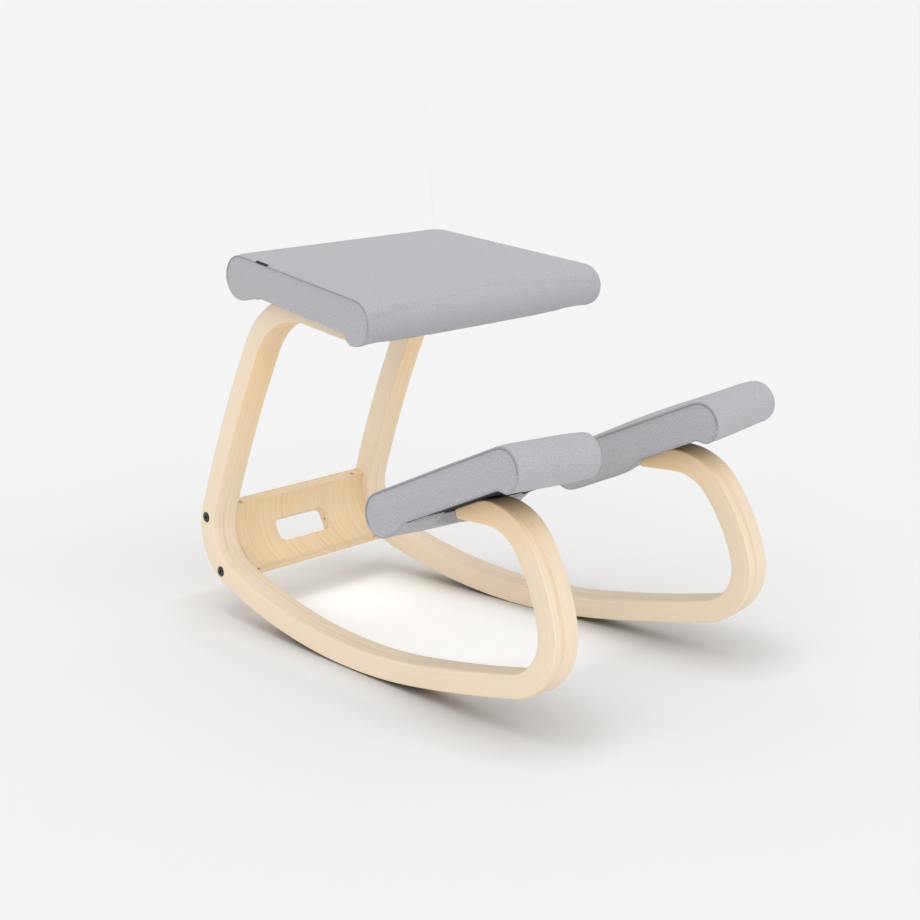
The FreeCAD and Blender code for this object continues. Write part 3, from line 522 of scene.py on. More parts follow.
def shade_by_angle(obj, degrees):
    """Smooth shading with sharp edges where faces meet steeply."""
    bm = bmesh.new()
    bm.from_mesh(obj.data)
    limit = math.radians(degrees)
    for face in bm.faces:
        face.smooth = True
    for edge in bm.edges:
        if len(edge.link_faces) == 2 and edge.calc_face_angle(0.0) > limit:
            edge.smooth = False
    bm.to_mesh(obj.data)
    bm.free()


CUTTER_SIDES = 48
CUTTER_CLEARANCE = 0.004


def cylinder_cutter(matrix, radius, low, high, flare=0.0):
    """A closed cylinder along Z from low to high; flare widens its mouth at the high end."""
    if flare:
        rings = [(radius, low), (radius, high - flare), (radius + flare, high),
                 (radius + flare, high + CUTTER_CLEARANCE)]
    else:
        rings = [(radius, low), (radius, high)]
    vertices = []
    for r, z in rings:
        for n in range(CUTTER_SIDES):
            a = 2.0 * math.pi * n / CUTTER_SIDES
            vertices.append(matrix @ Vector((r * math.cos(a), r * math.sin(a), z)))
    faces = strip_faces(len(rings), CUTTER_SIDES) + end_faces(len(rings), CUTTER_SIDES)
    return new_object("cutter", vertices, faces, WOOD)


def join_objects(objects):
    """Merge cutters into the first one."""
    bm = bmesh.new()
    for obj in objects:
        bm.from_mesh(obj.data)
    bm.to_mesh(objects[0].data)
    bm.free()
    for obj in objects[1:]:
        bpy.data.objects.remove(obj)
    return objects[0]


# Runners: a rounded strip swept along the drawing's path, in millimetres
ARM_OUTER_RADIUS = 48.0
ARM_INNER_RADIUS = 60.0
ARM_OUTER_TIP = 524.5
ARM_INNER_TIP = 528.5
ARM_INNER_SLOPE = 3.0
ARM_BEND_POINTS = 8
ARM_STRAIGHT_POINTS = 14


def knee_arm():
    """Outer and inner points of the straight knee arm, paired from the crest to the tip."""
    top = POINTS[-1]
    crest = top + np.array((0.0, HALF))
    centre = crest - np.array((0.0, ARM_OUTER_RADIUS))
    outer = []
    for n in range(1, ARM_BEND_POINTS + 1):
        turn = 180.0 + KNEE_TILT * n / ARM_BEND_POINTS
        outer.append(centre - left_of(turn) * ARM_OUTER_RADIUS)
    bend_end = outer[-1]
    heading = 180.0 + KNEE_TILT
    run = (bend_end[0] - ARM_OUTER_TIP) / -direction(heading)[0]
    for n in range(1, ARM_STRAIGHT_POINTS + 1):
        outer.append(bend_end + direction(heading) * run * n / ARM_STRAIGHT_POINTS)

    inner_crest = top - np.array((0.0, HALF))
    inner_centre = inner_crest - np.array((0.0, ARM_INNER_RADIUS))
    under = inner_centre - left_of(180.0 + ARM_INNER_SLOPE) * ARM_INNER_RADIUS
    slope = math.tan(math.radians(ARM_INNER_SLOPE))
    inner_run = ARM_INNER_TIP - inner_crest[0]
    outer_run = outer[-1][0] - crest[0]
    inner = []
    for p in outer:
        wanted = inner_crest[0] + inner_run * (p[0] - crest[0]) / outer_run
        if wanted > under[0]:
            across = wanted - inner_centre[0]
            rise = math.sqrt(max(0.0, ARM_INNER_RADIUS ** 2 - across ** 2))
            inner.append(np.array((wanted, inner_centre[1] + rise)))
        else:
            inner.append(np.array((wanted, under[1] - (under[0] - wanted) * slope)))
    return outer, inner


def sweep_stations():
    """Pairs of outer and inner side-view points with the arc length at each."""
    outer = [p - left_of(h) * HALF for p, h in zip(POINTS, HEADINGS)]
    inner = [p + left_of(h) * HALF for p, h in zip(POINTS, HEADINGS)]
    arm_outer, arm_inner = knee_arm()
    lengths = list(LENGTHS)
    last = POINTS[-1]
    for a, b in zip(arm_outer, arm_inner):
        middle = (a + b) / 2.0
        lengths.append(lengths[-1] + float(np.linalg.norm(middle - last)))
        last = middle
    return outer + arm_outer, inner + arm_inner, lengths


# Rounding of a runner's long edges, and of its two ends with a middle step
ROUND = 2.4
ROUND_STEPS = 4
END_ROUND = 1.2
END_ROUND_MIDDLE = 0.35


def rim(thickness):
    """Rounded rectangle as (x, depth) pairs; depth runs from the inner face to the outer."""
    half = WIDTH / 2.0
    points = []
    corners = ((half, thickness, 0), (-half, thickness, 90), (-half, 0.0, 180), (half, 0.0, 270))
    for x, depth, start in corners:
        cx = x - math.copysign(ROUND, x)
        cd = depth - ROUND if depth > 0 else ROUND
        for n in range(ROUND_STEPS + 1):
            a = math.radians(start + 90.0 * n / ROUND_STEPS)
            points.append((cx + ROUND * math.cos(a), cd + ROUND * math.sin(a)))
    return points


def build_runner(side, word):
    outer, inner, lengths = sweep_stations()
    matrix = runner_matrix(side)
    last = len(outer) - 1

    def ring_at(k, inset=0.0, back=0.0):
        """Rim, length and places of a station, drawn in by inset and moved on by back."""
        a, b = inner[k], outer[k]
        span = float(np.linalg.norm(b - a))
        unit = (b - a) / span
        after, before = min(k + 1, last), max(k - 1, 0)
        forward = outer[after] + inner[after] - outer[before] - inner[before]
        forward = forward / np.linalg.norm(forward)
        ring = []
        for x, depth in rim(span):
            x *= 1.0 - inset / (WIDTH / 2.0)
            depth = inset + depth * (1.0 - 2.0 * inset / span)
            ring.append((x, depth, lengths[k] + back, a + unit * depth + forward * back))
        return ring

    rings = [ring_at(0, END_ROUND)]
    rings.append(ring_at(0, END_ROUND_MIDDLE, END_ROUND_MIDDLE))
    rings.append(ring_at(0, 0.0, END_ROUND))
    rings += [ring_at(k) for k in range(1, last)]
    rings.append(ring_at(last, 0.0, -END_ROUND))
    rings.append(ring_at(last, END_ROUND_MIDDLE, -END_ROUND_MIDDLE))
    rings.append(ring_at(last, END_ROUND))
    vertices = []
    grain = []
    cross = []
    for ring in rings:
        for x, depth, length, p in ring:
            place_at = Vector((x * MM, (MIDDLE_ALONG - p[0]) * MM, p[1] * MM))
            vertices.append(matrix @ place_at)
            grain.append((length * MM, depth * MM))
            cross.append((x * MM, 0.0))
    count = len(rings[0])
    faces = strip_faces(len(rings), count) + end_faces(len(rings), count)
    obj = new_object("runner_" + word + "_laminated", vertices, faces, WOOD)
    set_uv(obj, "grain", grain)
    set_uv(obj, "cross", cross)
    recalc(obj)
    return obj


# Where a runner is bored: the panel's bolts by angle and radius round the rear bend, and
# the cushions' bolts by their u and the thickness of wood that they hold, in millimetres
PANEL_BOLT_ANGLES = (173.4, 239.0)
PANEL_BOLT_RADIUS = 73.3
SEAT_BOLTS_AT, SEAT_GRIP = (-5.0, 62.0), 23.0
KNEE_BOLTS_AT, KNEE_GRIP = (-26.0, 2.0), 11.0

# What is bored there, in metres: radius, low end, high end and flare
HEAD_RECESS = (0.00725, -0.0042, 0.0, 0.0007)
SPOT_RECESS = (0.00825, 0.0, 0.03)
RUNNER_SHARP_ABOVE = 32.0


def runner_cutters(side):
    """Recesses of the two panel bolts, and the spots under the seat arm and knee arm."""
    cutters = []
    runner_frame = runner_matrix(side)
    for angle in PANEL_BOLT_ANGLES:
        spot = REAR_CENTRE + PANEL_BOLT_RADIUS * direction(angle)
        across = side * WIDTH / 2.0 * MM
        local = Matrix.Translation((across, (MIDDLE_ALONG - spot[0]) * MM, spot[1] * MM))
        turn = Matrix.Rotation(math.radians(side * 90.0), 4, "Y")
        cutters.append(cylinder_cutter(runner_frame @ local @ turn, *HEAD_RECESS))
    for base, spots, grip, cushion in ((SEAT_BASE, SEAT_BOLTS_AT, SEAT_GRIP, SEAT_MATRIX),
                                       (KNEE_BASE, KNEE_BOLTS_AT, KNEE_GRIP, knee_matrix(side))):
        to_runner = runner_frame.inverted() @ cushion
        for u in spots:
            # The cushion's x at which its base meets the middle of the runner
            here = (to_runner @ Vector((0, -u * MM, base * MM))).x
            step = (to_runner @ Vector((MM, -u * MM, base * MM))).x - here
            x = -here / step * MM
            spot = cushion @ Matrix.Translation((x, -u * MM, (base - grip) * MM))
            turn = Matrix.Rotation(math.pi, 4, "X")
            cutters.append(cylinder_cutter(spot @ turn, *SPOT_RECESS))
    return join_objects(cutters)


for side, word in SIDES:
    runner = build_runner(side, word)
    cut(runner, runner_cutters(side))
    shade_by_angle(runner, RUNNER_SHARP_ABOVE)
    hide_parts("runner_" + word)
    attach(runner, "root")


# Rigid CAD nodes that keep their shape, with eased edges: lengths in metres, angles in degrees
MERGE_WITHIN = 2e-6
FLAT_WITHIN = 0.5
EASE_ABOVE = 40.0
EASE_SEGMENTS = 2
COPY_SHARP_ABOVE = 30.0


def eased_copy(node, name, material, ease):
    source = NODES[node]
    obj = bpy.data.objects.new(name, source.data.copy())
    bpy.context.scene.collection.objects.link(obj)
    obj.data.materials.clear()
    obj.data.materials.append(material)
    bm = bmesh.new()
    bm.from_mesh(obj.data)
    bmesh.ops.remove_doubles(bm, verts=bm.verts, dist=MERGE_WITHIN)
    bmesh.ops.dissolve_limit(bm, angle_limit=math.radians(FLAT_WITHIN), verts=bm.verts,
                             edges=bm.edges)
    bm.to_mesh(obj.data)
    bm.free()
    bevel = obj.modifiers.new("ease", "BEVEL")
    bevel.width = ease
    bevel.segments = EASE_SEGMENTS
    bevel.limit_method = "ANGLE"
    bevel.angle_limit = math.radians(EASE_ABOVE)
    bevel.use_clamp_overlap = True
    apply_modifiers(obj)
    shade_by_angle(obj, COPY_SHARP_ABOVE)
    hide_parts(node)
    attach(obj, "root")


eased_copy("cross_panel", "cross_panel_eased", PANEL, 0.0007)
for word in ("right", "left"):
    eased_copy("panel_bolts_" + word, "panel_bolts_%s_eased" % word, BLACK_STEEL,
               0.0005)

# CAD nodes that stay as they are, with finer materials
for node, obj in NODES.items():
    if "board" in node:
        dressing = BOARD
    elif "lining" in node:
        dressing = LINING
    elif "tee_nuts" in node or "barrel" in node:
        dressing = ZINC
    elif node.startswith(("seat_bolts", "seat_washers", "knee_bolts", "knee_washers")):
        dressing = BLACK_STEEL
    else:
        continue
    obj.data.materials.clear()
    obj.data.materials.append(dressing)


# Cushions. Their outlines are closed loops of (u, v) points, in millimetres; front and rear
# steps are where the recess for the board and the arm begins, and slopes lead up to it.
SEAT_SHAPE = {
    "rear": -158.5, "front": 148.5, "top": 4.5, "bottom": -54.0, "front_bottom": -53.5,
    "rear_radius": 30.0, "front_radius": 29.0, "front_step": 112.0, "front_slope": 14.0,
    "rear_step": -118.0, "rear_slope": 36.0, "recess": -41.5,
    "half_width": 202.0, "widening": 32.0 / 307.0, "crown": 4.0, "puff": 1.6, "seam_at": 1.2,
    "rows": 73,
}
KNEE_SHAPE = {
    "rear": -151.0, "front": 132.0, "top": 14.0, "bottom": -43.5, "front_bottom": -41.5,
    "rear_radius": 28.0, "front_radius": 27.0, "front_step": 102.0, "front_slope": 12.0,
    "rear_step": -108.0, "rear_slope": 28.0, "recess": -33.5,
    "half_width": 67.0, "widening": 0.0, "crown": 3.0, "puff": 2.0, "seam_at": 2.8,
    "rows": 27,
}
KNEE_INBOARD_STEP = -30.0
LEAST_CROWN = 0.05
OUTLINE_SMOOTHING = 6

# Points on each stretch of an outline, in the order in which section() walks them
TOP_POINTS = 100
ROUND_POINTS = 18
FOOT_POINTS = 6
FRONT_SLOPE_POINTS = 8
CEILING_POINTS = 70
REAR_SLOPE_POINTS = 14

# The points that lie on the lined ceiling of the recess
LINING_START = TOP_POINTS + 2 * ROUND_POINTS + FOOT_POINTS + FRONT_SLOPE_POINTS + 1
LINING_END = LINING_START + CEILING_POINTS


def arc_points(p, m, q, count):
    """Points of the circle arc through three points, the last one left out."""
    ax, ay = p
    bx, by = m
    cx, cy = q
    a2, b2, c2 = ax * ax + ay * ay, bx * bx + by * by, cx * cx + cy * cy
    d = 2.0 * (ax * (by - cy) + bx * (cy - ay) + cx * (ay - by))
    ux = (a2 * (by - cy) + b2 * (cy - ay) + c2 * (ay - by)) / d
    uy = (a2 * (cx - bx) + b2 * (ax - cx) + c2 * (bx - ax)) / d
    radius = math.hypot(ax - ux, ay - uy)
    start = math.atan2(ay - uy, ax - ux)
    middle = math.atan2(by - uy, bx - ux)
    sweep = (math.atan2(cy - uy, cx - ux) - start) % (2.0 * math.pi)
    if (middle - start) % (2.0 * math.pi) > sweep:
        sweep -= 2.0 * math.pi
    angles = [start + sweep * n / count for n in range(count)]
    return [(ux + radius * math.cos(a), uy + radius * math.sin(a)) for a in angles]


def line_points(p, q, count):
    """Points of a straight stretch, the last one left out."""
    return [(p[0] + (q[0] - p[0]) * n / count, p[1] + (q[1] - p[1]) * n / count)
            for n in range(count)]


def section(shape, rear_step, rise):
    """Closed outline of a cushion in side view; the top's middle lies rise over its ends."""
    top, low, recess = shape["top"], shape["bottom"], shape["recess"]
    rear, front = shape["rear"], shape["front"]
    middle = (low + top) / 2.0
    top_rear = (rear + shape["rear_radius"], top)
    top_front = (front - shape["front_radius"], top)
    nose = (front, middle)
    low_front = (front - shape["front_radius"], shape["front_bottom"])
    front_foot = (shape["front_step"], shape["front_bottom"])
    front_inner = (shape["front_step"] - shape["front_slope"], recess)
    rear_inner = (rear_step + shape["rear_slope"], recess)
    rear_foot = (rear_step, low)
    low_rear = (rear + shape["rear_radius"], low)
    tail = (rear, middle)

    def rounded(p, q, upright_first):
        """Arc from p to q, whose middle bulges away from the chord as an ellipse's does."""
        far = math.sqrt(0.5)
        near = 1.0 - far
        share_u, share_v = (near, far) if upright_first else (far, near)
        m = (p[0] + (q[0] - p[0]) * share_u, p[1] + (q[1] - p[1]) * share_v)
        return arc_points(p, m, q, ROUND_POINTS)

    points = []
    for u, v in line_points(top_rear, top_front, TOP_POINTS):
        s = 2.0 * (u - top_rear[0]) / (top_front[0] - top_rear[0]) - 1.0
        points.append((u, v + rise * (1.0 - s * s) ** 2))
    points += rounded(top_front, nose, False)
    points += rounded(nose, low_front, True)
    points += line_points(low_front, front_foot, FOOT_POINTS)
    points += line_points(front_foot, front_inner, FRONT_SLOPE_POINTS)
    points += line_points(front_inner, rear_inner, CEILING_POINTS)
    points += line_points(rear_inner, rear_foot, REAR_SLOPE_POINTS)
    points += line_points(rear_foot, low_rear, FOOT_POINTS)
    points += rounded(low_rear, tail, False)
    points += rounded(tail, top_rear, True)
    return np.array(points)


def smooth_loop(points, rounds):
    """Softens the corners of a closed outline a little."""
    for _ in range(rounds):
        both = np.roll(points, 1, axis=0) + np.roll(points, -1, axis=0)
        points = 0.5 * points + 0.25 * both
    return points


def smoothstep(x):
    x = np.clip(x, 0.0, 1.0)
    return x * x * (3.0 - 2.0 * x)


# The side boxing, in millimetres: its edge beside the wrap, the seam's welt and the puff
EDGE_HEIGHT, EDGE_REACH = 1.6, 2.0
WELT_HEIGHT, WELT_WIDTH = 1.5, 0.7
PUFF_REACH = 24.0


def edge_profile(distance, puff, seam_at):
    """How far the side boxing stands out at a distance from its outline.

    Its edge and the welt of its seam stand proud, and its middle is puffed.
    """
    falling = 1.0 - np.clip(distance / min(EDGE_REACH, seam_at), 0.0, 1.0)
    edge = EDGE_HEIGHT * falling ** 2
    welt = WELT_HEIGHT * np.exp(-((distance - seam_at) / WELT_WIDTH) ** 2)
    return np.abs(edge + welt - puff * smoothstep((distance - seam_at) / PUFF_REACH))


def distance_to_loop(points, loop):
    """Distance of each point to a closed polyline."""
    best = np.full(len(points), 1e9)
    for start, span in zip(loop, np.roll(loop, -1, axis=0) - loop):
        t = np.clip(((points - start) @ span) / max(span @ span, 1e-12), 0.0, 1.0)
        gap = np.linalg.norm(points - start - t[:, None] * span, axis=1)
        best = np.minimum(best, gap)
    return best


def inside_loop(points, loop):
    """Which points lie inside a closed polyline."""
    inside = np.zeros(len(points), dtype=bool)
    for a, b in zip(loop, np.roll(loop, -1, axis=0)):
        if a[1] == b[1]:
            continue
        crosses = (a[1] > points[:, 1]) != (b[1] > points[:, 1])
        at = (b[0] - a[0]) * (points[:, 1] - a[1]) / (b[1] - a[1]) + a[0]
        inside ^= crosses & (points[:, 0] < at)
    return inside


def point_tree(points):
    tree = kdtree.KDTree(len(points))
    for n, p in enumerate(points):
        tree.insert(p, n)
    tree.balance()
    return tree


RING_GAPS = (0.4, 0.8, 1.2, 1.6, 2.0, 2.4, 2.8, 3.2, 3.7, 4.4, 5.4, 6.8, 8.6)
RING_TOLERANCE = 0.93
GRID_STEP = 3.2
GRID_CLEARANCE = 10.0
WELD_WITHIN = 1e-5


def side_cap(loop):
    """Triangles inside a closed outline, on rings that follow it and then on a plain grid.

    Returns the points, the triangles and, for each point of the outline, its number.
    """
    ahead = np.roll(loop, -1, axis=0)
    area = 0.5 * np.sum(loop[:, 0] * ahead[:, 1] - ahead[:, 0] * loop[:, 1])
    tangent = ahead - np.roll(loop, 1, axis=0)
    tangent /= np.linalg.norm(tangent, axis=1)[:, None]
    inward = 1.0 if area > 0 else -1.0
    normal = np.stack((-tangent[:, 1], tangent[:, 0]), axis=1) * inward
    parts = [loop]
    for gap in RING_GAPS:
        ring = loop + normal * gap
        parts.append(ring[distance_to_loop(ring, loop) > gap * RING_TOLERANCE])
    low = loop.min(axis=0)
    high = loop.max(axis=0)
    us, vs = np.meshgrid(np.arange(low[0], high[0], GRID_STEP),
                         np.arange(low[1], high[1], GRID_STEP))
    grid = np.stack((us.ravel(), vs.ravel()), axis=1)
    grid = grid[inside_loop(grid, loop)]
    parts.append(grid[distance_to_loop(grid, loop) > GRID_CLEARANCE])
    count = len(loop)
    edges = [(n, (n + 1) % count) for n in range(count)]
    corners = [Vector(p) for p in np.vstack(parts)]
    made = geometry.delaunay_2d_cdt(corners, edges, [], 1, WELD_WITHIN, False)
    cap_points = np.array([(p.x, p.y) for p in made[0]])
    tree = point_tree([(u, v, 0.0) for u, v in cap_points])
    order = [tree.find((u, v, 0.0))[1] for u, v in loop]
    triangles = np.array([tuple(f) for f in made[2]])
    kept = triangles[inside_loop(cap_points[triangles].mean(axis=1), loop)]
    return cap_points, kept.tolist(), order


# Next to a seam the cloth pressure moves nothing; over this reach it comes to its full move
SEAM_HOLD = 18.0

# The painted shade in the seams begins this far above the underside, and comes in over the second
# of these lengths
SEAM_SHADE_START = 14.0
SEAM_SHADE_FADE = 12.0

# Puts the weave of the sides apart from that of the wrap, in metres
SIDE_WEAVE_SHIFT = 0.5


def build_cushion(name, shape, step_of, lift):
    """Closed cover of a cushion: wrap sections across the width and a boxing cap at each side.

    Also returns how free each vertex is to swell, from 0 on the seams to 1.
    """
    half_width, rows, seam_at = shape["half_width"], shape["rows"], shape["seam_at"]
    fractions = np.linspace(-1.0, 1.0, rows)
    loops = []
    for fraction in fractions:
        rise = max(LEAST_CROWN, shape["crown"] * (1.0 - fraction * fraction))
        outline = section(shape, step_of(fraction), rise)
        loops.append(smooth_loop(outline, OUTLINE_SMOOTHING))
    count = len(loops[0])
    vertices = []
    weave = []
    free = []
    crease = []

    def add(fraction, u, v, out, weave_at, from_seam, seam_shade_and_lined):
        """A vertex; out is measured outward from the side at this fraction."""
        x = fraction * (half_width + shape["widening"] * u)
        vertices.append((x + out, -u, v))
        weave.append(weave_at)
        free.append(min(1.0, from_seam / SEAM_HOLD))
        crease.append(seam_shade_and_lined)

    middle_loop = loops[rows // 2]
    steps = np.linalg.norm(np.roll(middle_loop, -1, axis=0) - middle_loop, axis=1)
    perimeter = np.concatenate(((0.0,), np.cumsum(steps)))
    near = 1.0 - EDGE_HEIGHT / half_width
    fractions[0] = -near
    fractions[-1] = near
    for fraction, loop in zip(fractions, loops):
        for n, (u, v) in enumerate(loop):
            lined = 1.0 if LINING_START <= n < LINING_END else 0.0
            add(fraction, u, v, 0.0, (perimeter[n] * MM, fraction * half_width * MM),
                (1.0 - abs(fraction)) * half_width, (0.0, lined))
    faces = strip_faces(rows, count)
    for side, row in ((-1.0, 0), (1.0, rows - 1)):
        loop = loops[row]
        cap_points, triangles, order = side_cap(loop)
        distance = distance_to_loop(cap_points, loop)
        out = edge_profile(distance, shape["puff"], seam_at)
        numbers = {vertex: row * count + n for n, vertex in enumerate(order)}
        for n, (u, v) in enumerate(cap_points):
            if n in numbers:
                continue
            numbers[n] = len(vertices)
            # Painted shade in the seam's groove, left off near the underside
            upper = float(smoothstep((v - shape["bottom"] - SEAM_SHADE_START) / SEAM_SHADE_FADE))
            dark = upper * math.exp(-((distance[n] - seam_at) / WELT_WIDTH) ** 2)
            add(side, u, v, side * out[n], (u * MM, v * MM + SIDE_WEAVE_SHIFT), distance[n],
                (dark, 0.0))
        faces += [tuple(numbers[n] for n in triangle) for triangle in triangles]
    obj = new_object(name, lift(np.array(vertices)) * MM, faces, CLOTH)
    set_uv(obj, "weave", weave)
    set_uv(obj, "crease", crease)
    recalc(obj)
    return obj, np.array(free)


CLOTH_SETTINGS = {
    "quality": 5, "mass": 0.3, "use_pressure": True, "uniform_pressure_force": 2.0,
    "tension_stiffness": 40.0, "compression_stiffness": 40.0, "shear_stiffness": 20.0,
    "bending_stiffness": 2.0,
}
CLOTH_FRAMES = 20

# A point moves by the mean of its neighbours, weighted by nearness, and never further than
# MOST_SWELL; lengths in metres
NEIGHBOURS = 40
NEIGHBOUR_SOFTNESS = 0.012
MOST_SWELL = 0.0012


def swell(obj, free, voxel):
    """Cloth pressure on a coarse copy; its swelling is passed on away from the seams."""
    coarse = bpy.data.objects.new("coarse", obj.data.copy())
    bpy.context.scene.collection.objects.link(coarse)
    remesh = coarse.modifiers.new("voxels", "REMESH")
    remesh.mode = "VOXEL"
    remesh.voxel_size = voxel
    apply_modifiers(coarse)
    start = np.array([v.co for v in coarse.data.vertices])
    cloth = coarse.modifiers.new("cloth", "CLOTH")
    for key, value in CLOTH_SETTINGS.items():
        setattr(cloth.settings, key, value)
    cloth.settings.effector_weights.gravity = 0.0
    cloth.collision_settings.use_collision = False
    cloth.point_cache.frame_start = 1
    cloth.point_cache.frame_end = CLOTH_FRAMES
    for number in range(1, CLOTH_FRAMES + 1):
        bpy.context.scene.frame_set(number)
    evaluated = coarse.evaluated_get(bpy.context.evaluated_depsgraph_get())
    finish = np.array([v.co for v in evaluated.data.vertices])
    bpy.context.scene.frame_set(1)
    move = finish - start
    tree = point_tree(start)
    hold = smoothstep(free)
    mesh = obj.data
    normals = [v.normal.copy() for v in mesh.vertices]
    for n, vertex in enumerate(mesh.vertices):
        total = 0.0
        weight_sum = 0.0
        for _, index, gap in tree.find_n(vertex.co, NEIGHBOURS):
            weight = 1.0 / (gap + NEIGHBOUR_SOFTNESS)
            total += weight * float(Vector(move[index]).dot(normals[n]))
            weight_sum += weight
        amount = max(-MOST_SWELL, min(MOST_SWELL, total / weight_sum))
        vertex.co += normals[n] * amount * hold[n]
    mesh.update()
    bpy.data.objects.remove(coarse)


# The covers turn up round the boards' edges on the underside, to this far above the base
TURN_UP = 2.5
SEAT_MARGIN = 14.0
KNEE_MARGIN = 8.0
KNEE_LOBE_FROM, KNEE_LOBE_BELOW = 21.5, -34.5


def lift_under(points, depth, half, rear, front, base, spared=False):
    """Raises the points below depth that lie within a board's outline, but not the spared."""
    x, u, v = points[:, 0], -points[:, 1], points[:, 2]
    under = (v < depth) & (np.abs(x) < half) & (u > rear) & (u < front) & ~np.asarray(spared)
    points[under, 2] = np.maximum(points[under, 2], base + TURN_UP)
    return points


def seat_lift(points):
    half = SEAT_SHAPE["half_width"] - SEAT_MARGIN + SEAT_SHAPE["widening"] * -points[:, 1]
    return lift_under(points, depth=-38.0, half=half, rear=-76.0, front=94.0, base=SEAT_BASE)


def knee_lift(points):
    """The rounded lobes beside the arm's recess keep their shape."""
    lobes = (np.abs(points[:, 0]) > KNEE_LOBE_FROM) & (points[:, 2] < KNEE_LOBE_BELOW)
    half = KNEE_SHAPE["half_width"] - KNEE_MARGIN
    return lift_under(points, depth=-30.0, half=half, rear=-76.0, front=86.0, base=KNEE_BASE,
                      spared=lobes)


seat, seat_free = build_cushion("seat_cover", SEAT_SHAPE, lambda _: SEAT_SHAPE["rear_step"],
                                seat_lift)
swell(seat, seat_free, voxel=0.008)
seat.data.transform(SEAT_MATRIX)
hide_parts("seat_wrap", "seat_foam", "seat_side_right", "seat_side_left")
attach(seat, "root")

for side, word in SIDES:
    def knee_step(fraction, side=side):
        """The recess reaches further to the rear on the outboard side of each pad."""
        inboard = (1.0 - side * fraction) / 2.0
        return KNEE_SHAPE["rear_step"] + (KNEE_INBOARD_STEP - KNEE_SHAPE["rear_step"]) * inboard

    pad, pad_free = build_cushion("knee_cover_" + word, KNEE_SHAPE, knee_step, knee_lift)
    swell(pad, pad_free, voxel=0.006)
    pad.data.transform(knee_matrix(side))
    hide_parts("knee_wrap_" + word, "knee_foam_" + word, "knee_side_outer_" + word,
                "knee_side_inner_" + word)
    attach(pad, "root")


# Bare black tape folded into the seat's right seam, in millimetres on the seat's axes
TAPE_START, TAPE_LENGTH, TAPE_COLUMNS = -92.0, 25.0, 13
TAPE_REACH, TAPE_THICKNESS = 3.4, 0.5
TAPE_INSET, TAPE_HEIGHT, TAPE_DROP = 1.9, 5.5, 0.5
TAPE_WAVE, TAPE_WAVE_RATE = 0.25, 0.9
TAPE_PROFILE = ((0.0, 1.0), (0.55, 1.1), (0.9, 0.8), (1.0, 0.0), (0.9, -0.8), (0.55, -1.1),
                (0.0, -1.0))


def build_tape():
    """A folded loop of tape that stands out of the seam by a few millimetres."""
    vertices = []
    for k in range(TAPE_COLUMNS):
        u = TAPE_START + TAPE_LENGTH * k / (TAPE_COLUMNS - 1)
        x_edge = TAPE_INSET - (SEAT_SHAPE["half_width"] + SEAT_SHAPE["widening"] * u)
        wave = TAPE_WAVE * math.sin(k * TAPE_WAVE_RATE)
        for share, side_share in TAPE_PROFILE:
            out = TAPE_REACH * share
            height = TAPE_HEIGHT + TAPE_THICKNESS * side_share + (wave - TAPE_DROP * out) * share
            vertices.append((x_edge - out, -u, height))
    count = len(TAPE_PROFILE)
    faces = strip_faces(TAPE_COLUMNS, count) + end_faces(TAPE_COLUMNS, count)
    obj = new_object("seam_tape", np.array(vertices) * MM, faces, TAPE)
    recalc(obj)
    obj.data.transform(SEAT_MATRIX)
    return obj


tape = build_tape()
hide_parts("seam_tag")
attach(tape, "root")


# Floor: painted light makes it white between the runners and it is pale grey outside, and painted
# shadow makes it darker where things stand close.
# Distances in metres; the floor is a middle square and a wide ring round it.
FLOOR_HALVES = (3.0, 900.0)
BETWEEN_X = (0.12, 0.26)
BETWEEN_Y = (0.16, 0.30)
BETWEEN_MIDDLE = 0.09
SEEN_OUTSIDE = 0.912
# Painted light: the floor is seen brighter between the runners, as a pool of light
PAINTED_LIGHT_BETWEEN = 1.28
LIT_AS = 0.88
# Painted shadow: the floor's seen colour is darkened by ambient occlusion near the chair
CONTACT_SHADOW_REACH = 0.11
CONTACT_SHADOW_SAMPLES = 16
CONTACT_SHADOW_POWER = 0.85


def build_floor():
    shader = Shader("floor")
    x, y, _ = shader.split(shader.position())
    from_middle = shader.math("SUBTRACT", y, BETWEEN_MIDDLE)
    reach_x = shader.range(shader.math("ABSOLUTE", x), *BETWEEN_X, 1.0, 0.0)
    reach_y = shader.range(shader.math("ABSOLUTE", from_middle), *BETWEEN_Y, 1.0, 0.0)
    between = shader.math("MULTIPLY", reach_x, reach_y)
    # Painted light between the runners
    seen = shader.mix(between, (SEEN_OUTSIDE,) * 3, (PAINTED_LIGHT_BETWEEN,) * 3)
    # Painted shadow where things stand close
    shade = shader.tree.nodes.new("ShaderNodeAmbientOcclusion")
    shade.samples = CONTACT_SHADOW_SAMPLES
    shade.inputs["Distance"].default_value = CONTACT_SHADOW_REACH
    painted_shadow = shader.math("POWER", shade.outputs["AO"], CONTACT_SHADOW_POWER)
    seen = shader.multiply(seen, shader.join(painted_shadow, painted_shadow, painted_shadow))
    ray = shader.tree.nodes.new("ShaderNodeLightPath").outputs["Is Camera Ray"]
    shader.set(colour=shader.mix(ray, (LIT_AS,) * 3, seen), rough=1.0, specular=0.0)
    corners = ((-1, -1), (1, -1), (1, 1), (-1, 1))
    vertices = [(sx * half, sy * half, 0) for half in FLOOR_HALVES for sx, sy in corners]
    ring = [(n, n + 4, (n + 1) % 4 + 4, (n + 1) % 4) for n in range(4)]
    obj = new_object("floor", vertices, [(0, 1, 2, 3)] + ring, shader.material, smooth=False)


build_floor()

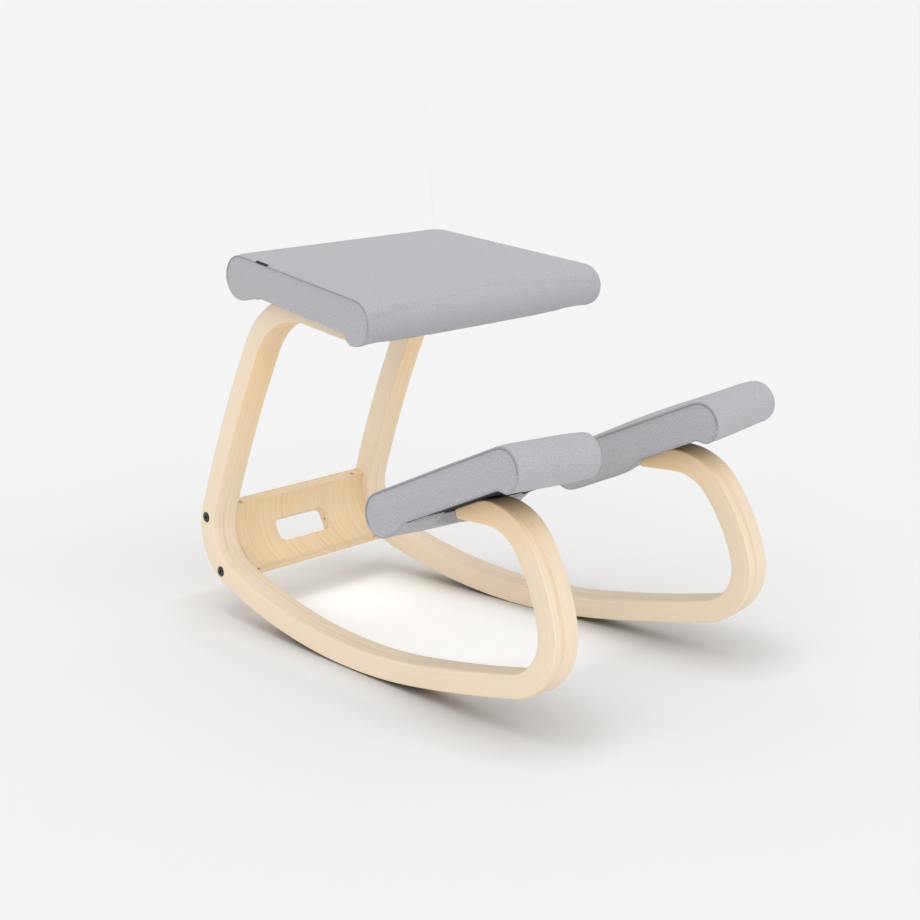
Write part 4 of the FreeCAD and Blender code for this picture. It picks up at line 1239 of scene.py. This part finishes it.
# Light: an even dome, whose own look is set apart from what it gives, a weak overhead sun
# and two low fills
DOME_LEVEL = 0.76
SEEN_LEVEL = 0.905
world = bpy.data.worlds.new("studio")
bpy.context.scene.world = world
world.use_nodes = True
background = world.node_tree.nodes["Background"]
background.inputs[0].default_value = (1.0, 1.0, 1.0, 1.0)
rays = world.node_tree.nodes.new("ShaderNodeLightPath")
level = world.node_tree.nodes.new("ShaderNodeMath")
level.operation = "MULTIPLY_ADD"
level.inputs[1].default_value = SEEN_LEVEL - DOME_LEVEL
level.inputs[2].default_value = DOME_LEVEL
world.node_tree.links.new(rays.outputs["Is Camera Ray"], level.inputs[0])
world.node_tree.links.new(level.outputs[0], background.inputs[1])


def sun(name, azimuth, elevation, strength, angle):
    """azimuth is the compass side that the light comes from: 0 is -Y, 90 is +X."""
    data = bpy.data.lights.new(name, "SUN")
    data.energy = strength
    data.angle = math.radians(angle)
    obj = bpy.data.objects.new(name, data)
    bpy.context.scene.collection.objects.link(obj)
    a, e = math.radians(azimuth), math.radians(elevation)
    source = Vector((math.sin(a) * math.cos(e), -math.cos(a) * math.cos(e), math.sin(e)))
    obj.rotation_euler = source.to_track_quat("Z", "Y").to_euler()


sun("key", -125.0, 78.0, 0.32, 16.0)
sun("near_fill", -62.0, 12.0, 0.88, 70.0)
sun("front_fill", 0.0, 16.0, 0.72, 70.0)

# Camera, as solved from the photograph: in front of the chair and to the sitter's right
FOCAL_PIXELS = 1799.0
FRAME_PIXELS = 920.0
SENSOR = 36.0
LOOKS_DOWN = 14.41
TURNED = -46.28
camera_data = bpy.data.cameras.new("camera")
camera_data.sensor_width = SENSOR
camera_data.lens = FOCAL_PIXELS / FRAME_PIXELS * SENSOR
camera_data.clip_end = 3000.0
camera = bpy.data.objects.new("camera", camera_data)
bpy.context.scene.collection.objects.link(camera)
camera.location = (-1.6761, -1.6004, 0.8434)
camera.rotation_euler = (math.radians(90.0 - LOOKS_DOWN), 0.0, math.radians(TURNED))
bpy.context.scene.camera = camera
bpy.context.scene.view_settings.view_transform = "Standard"
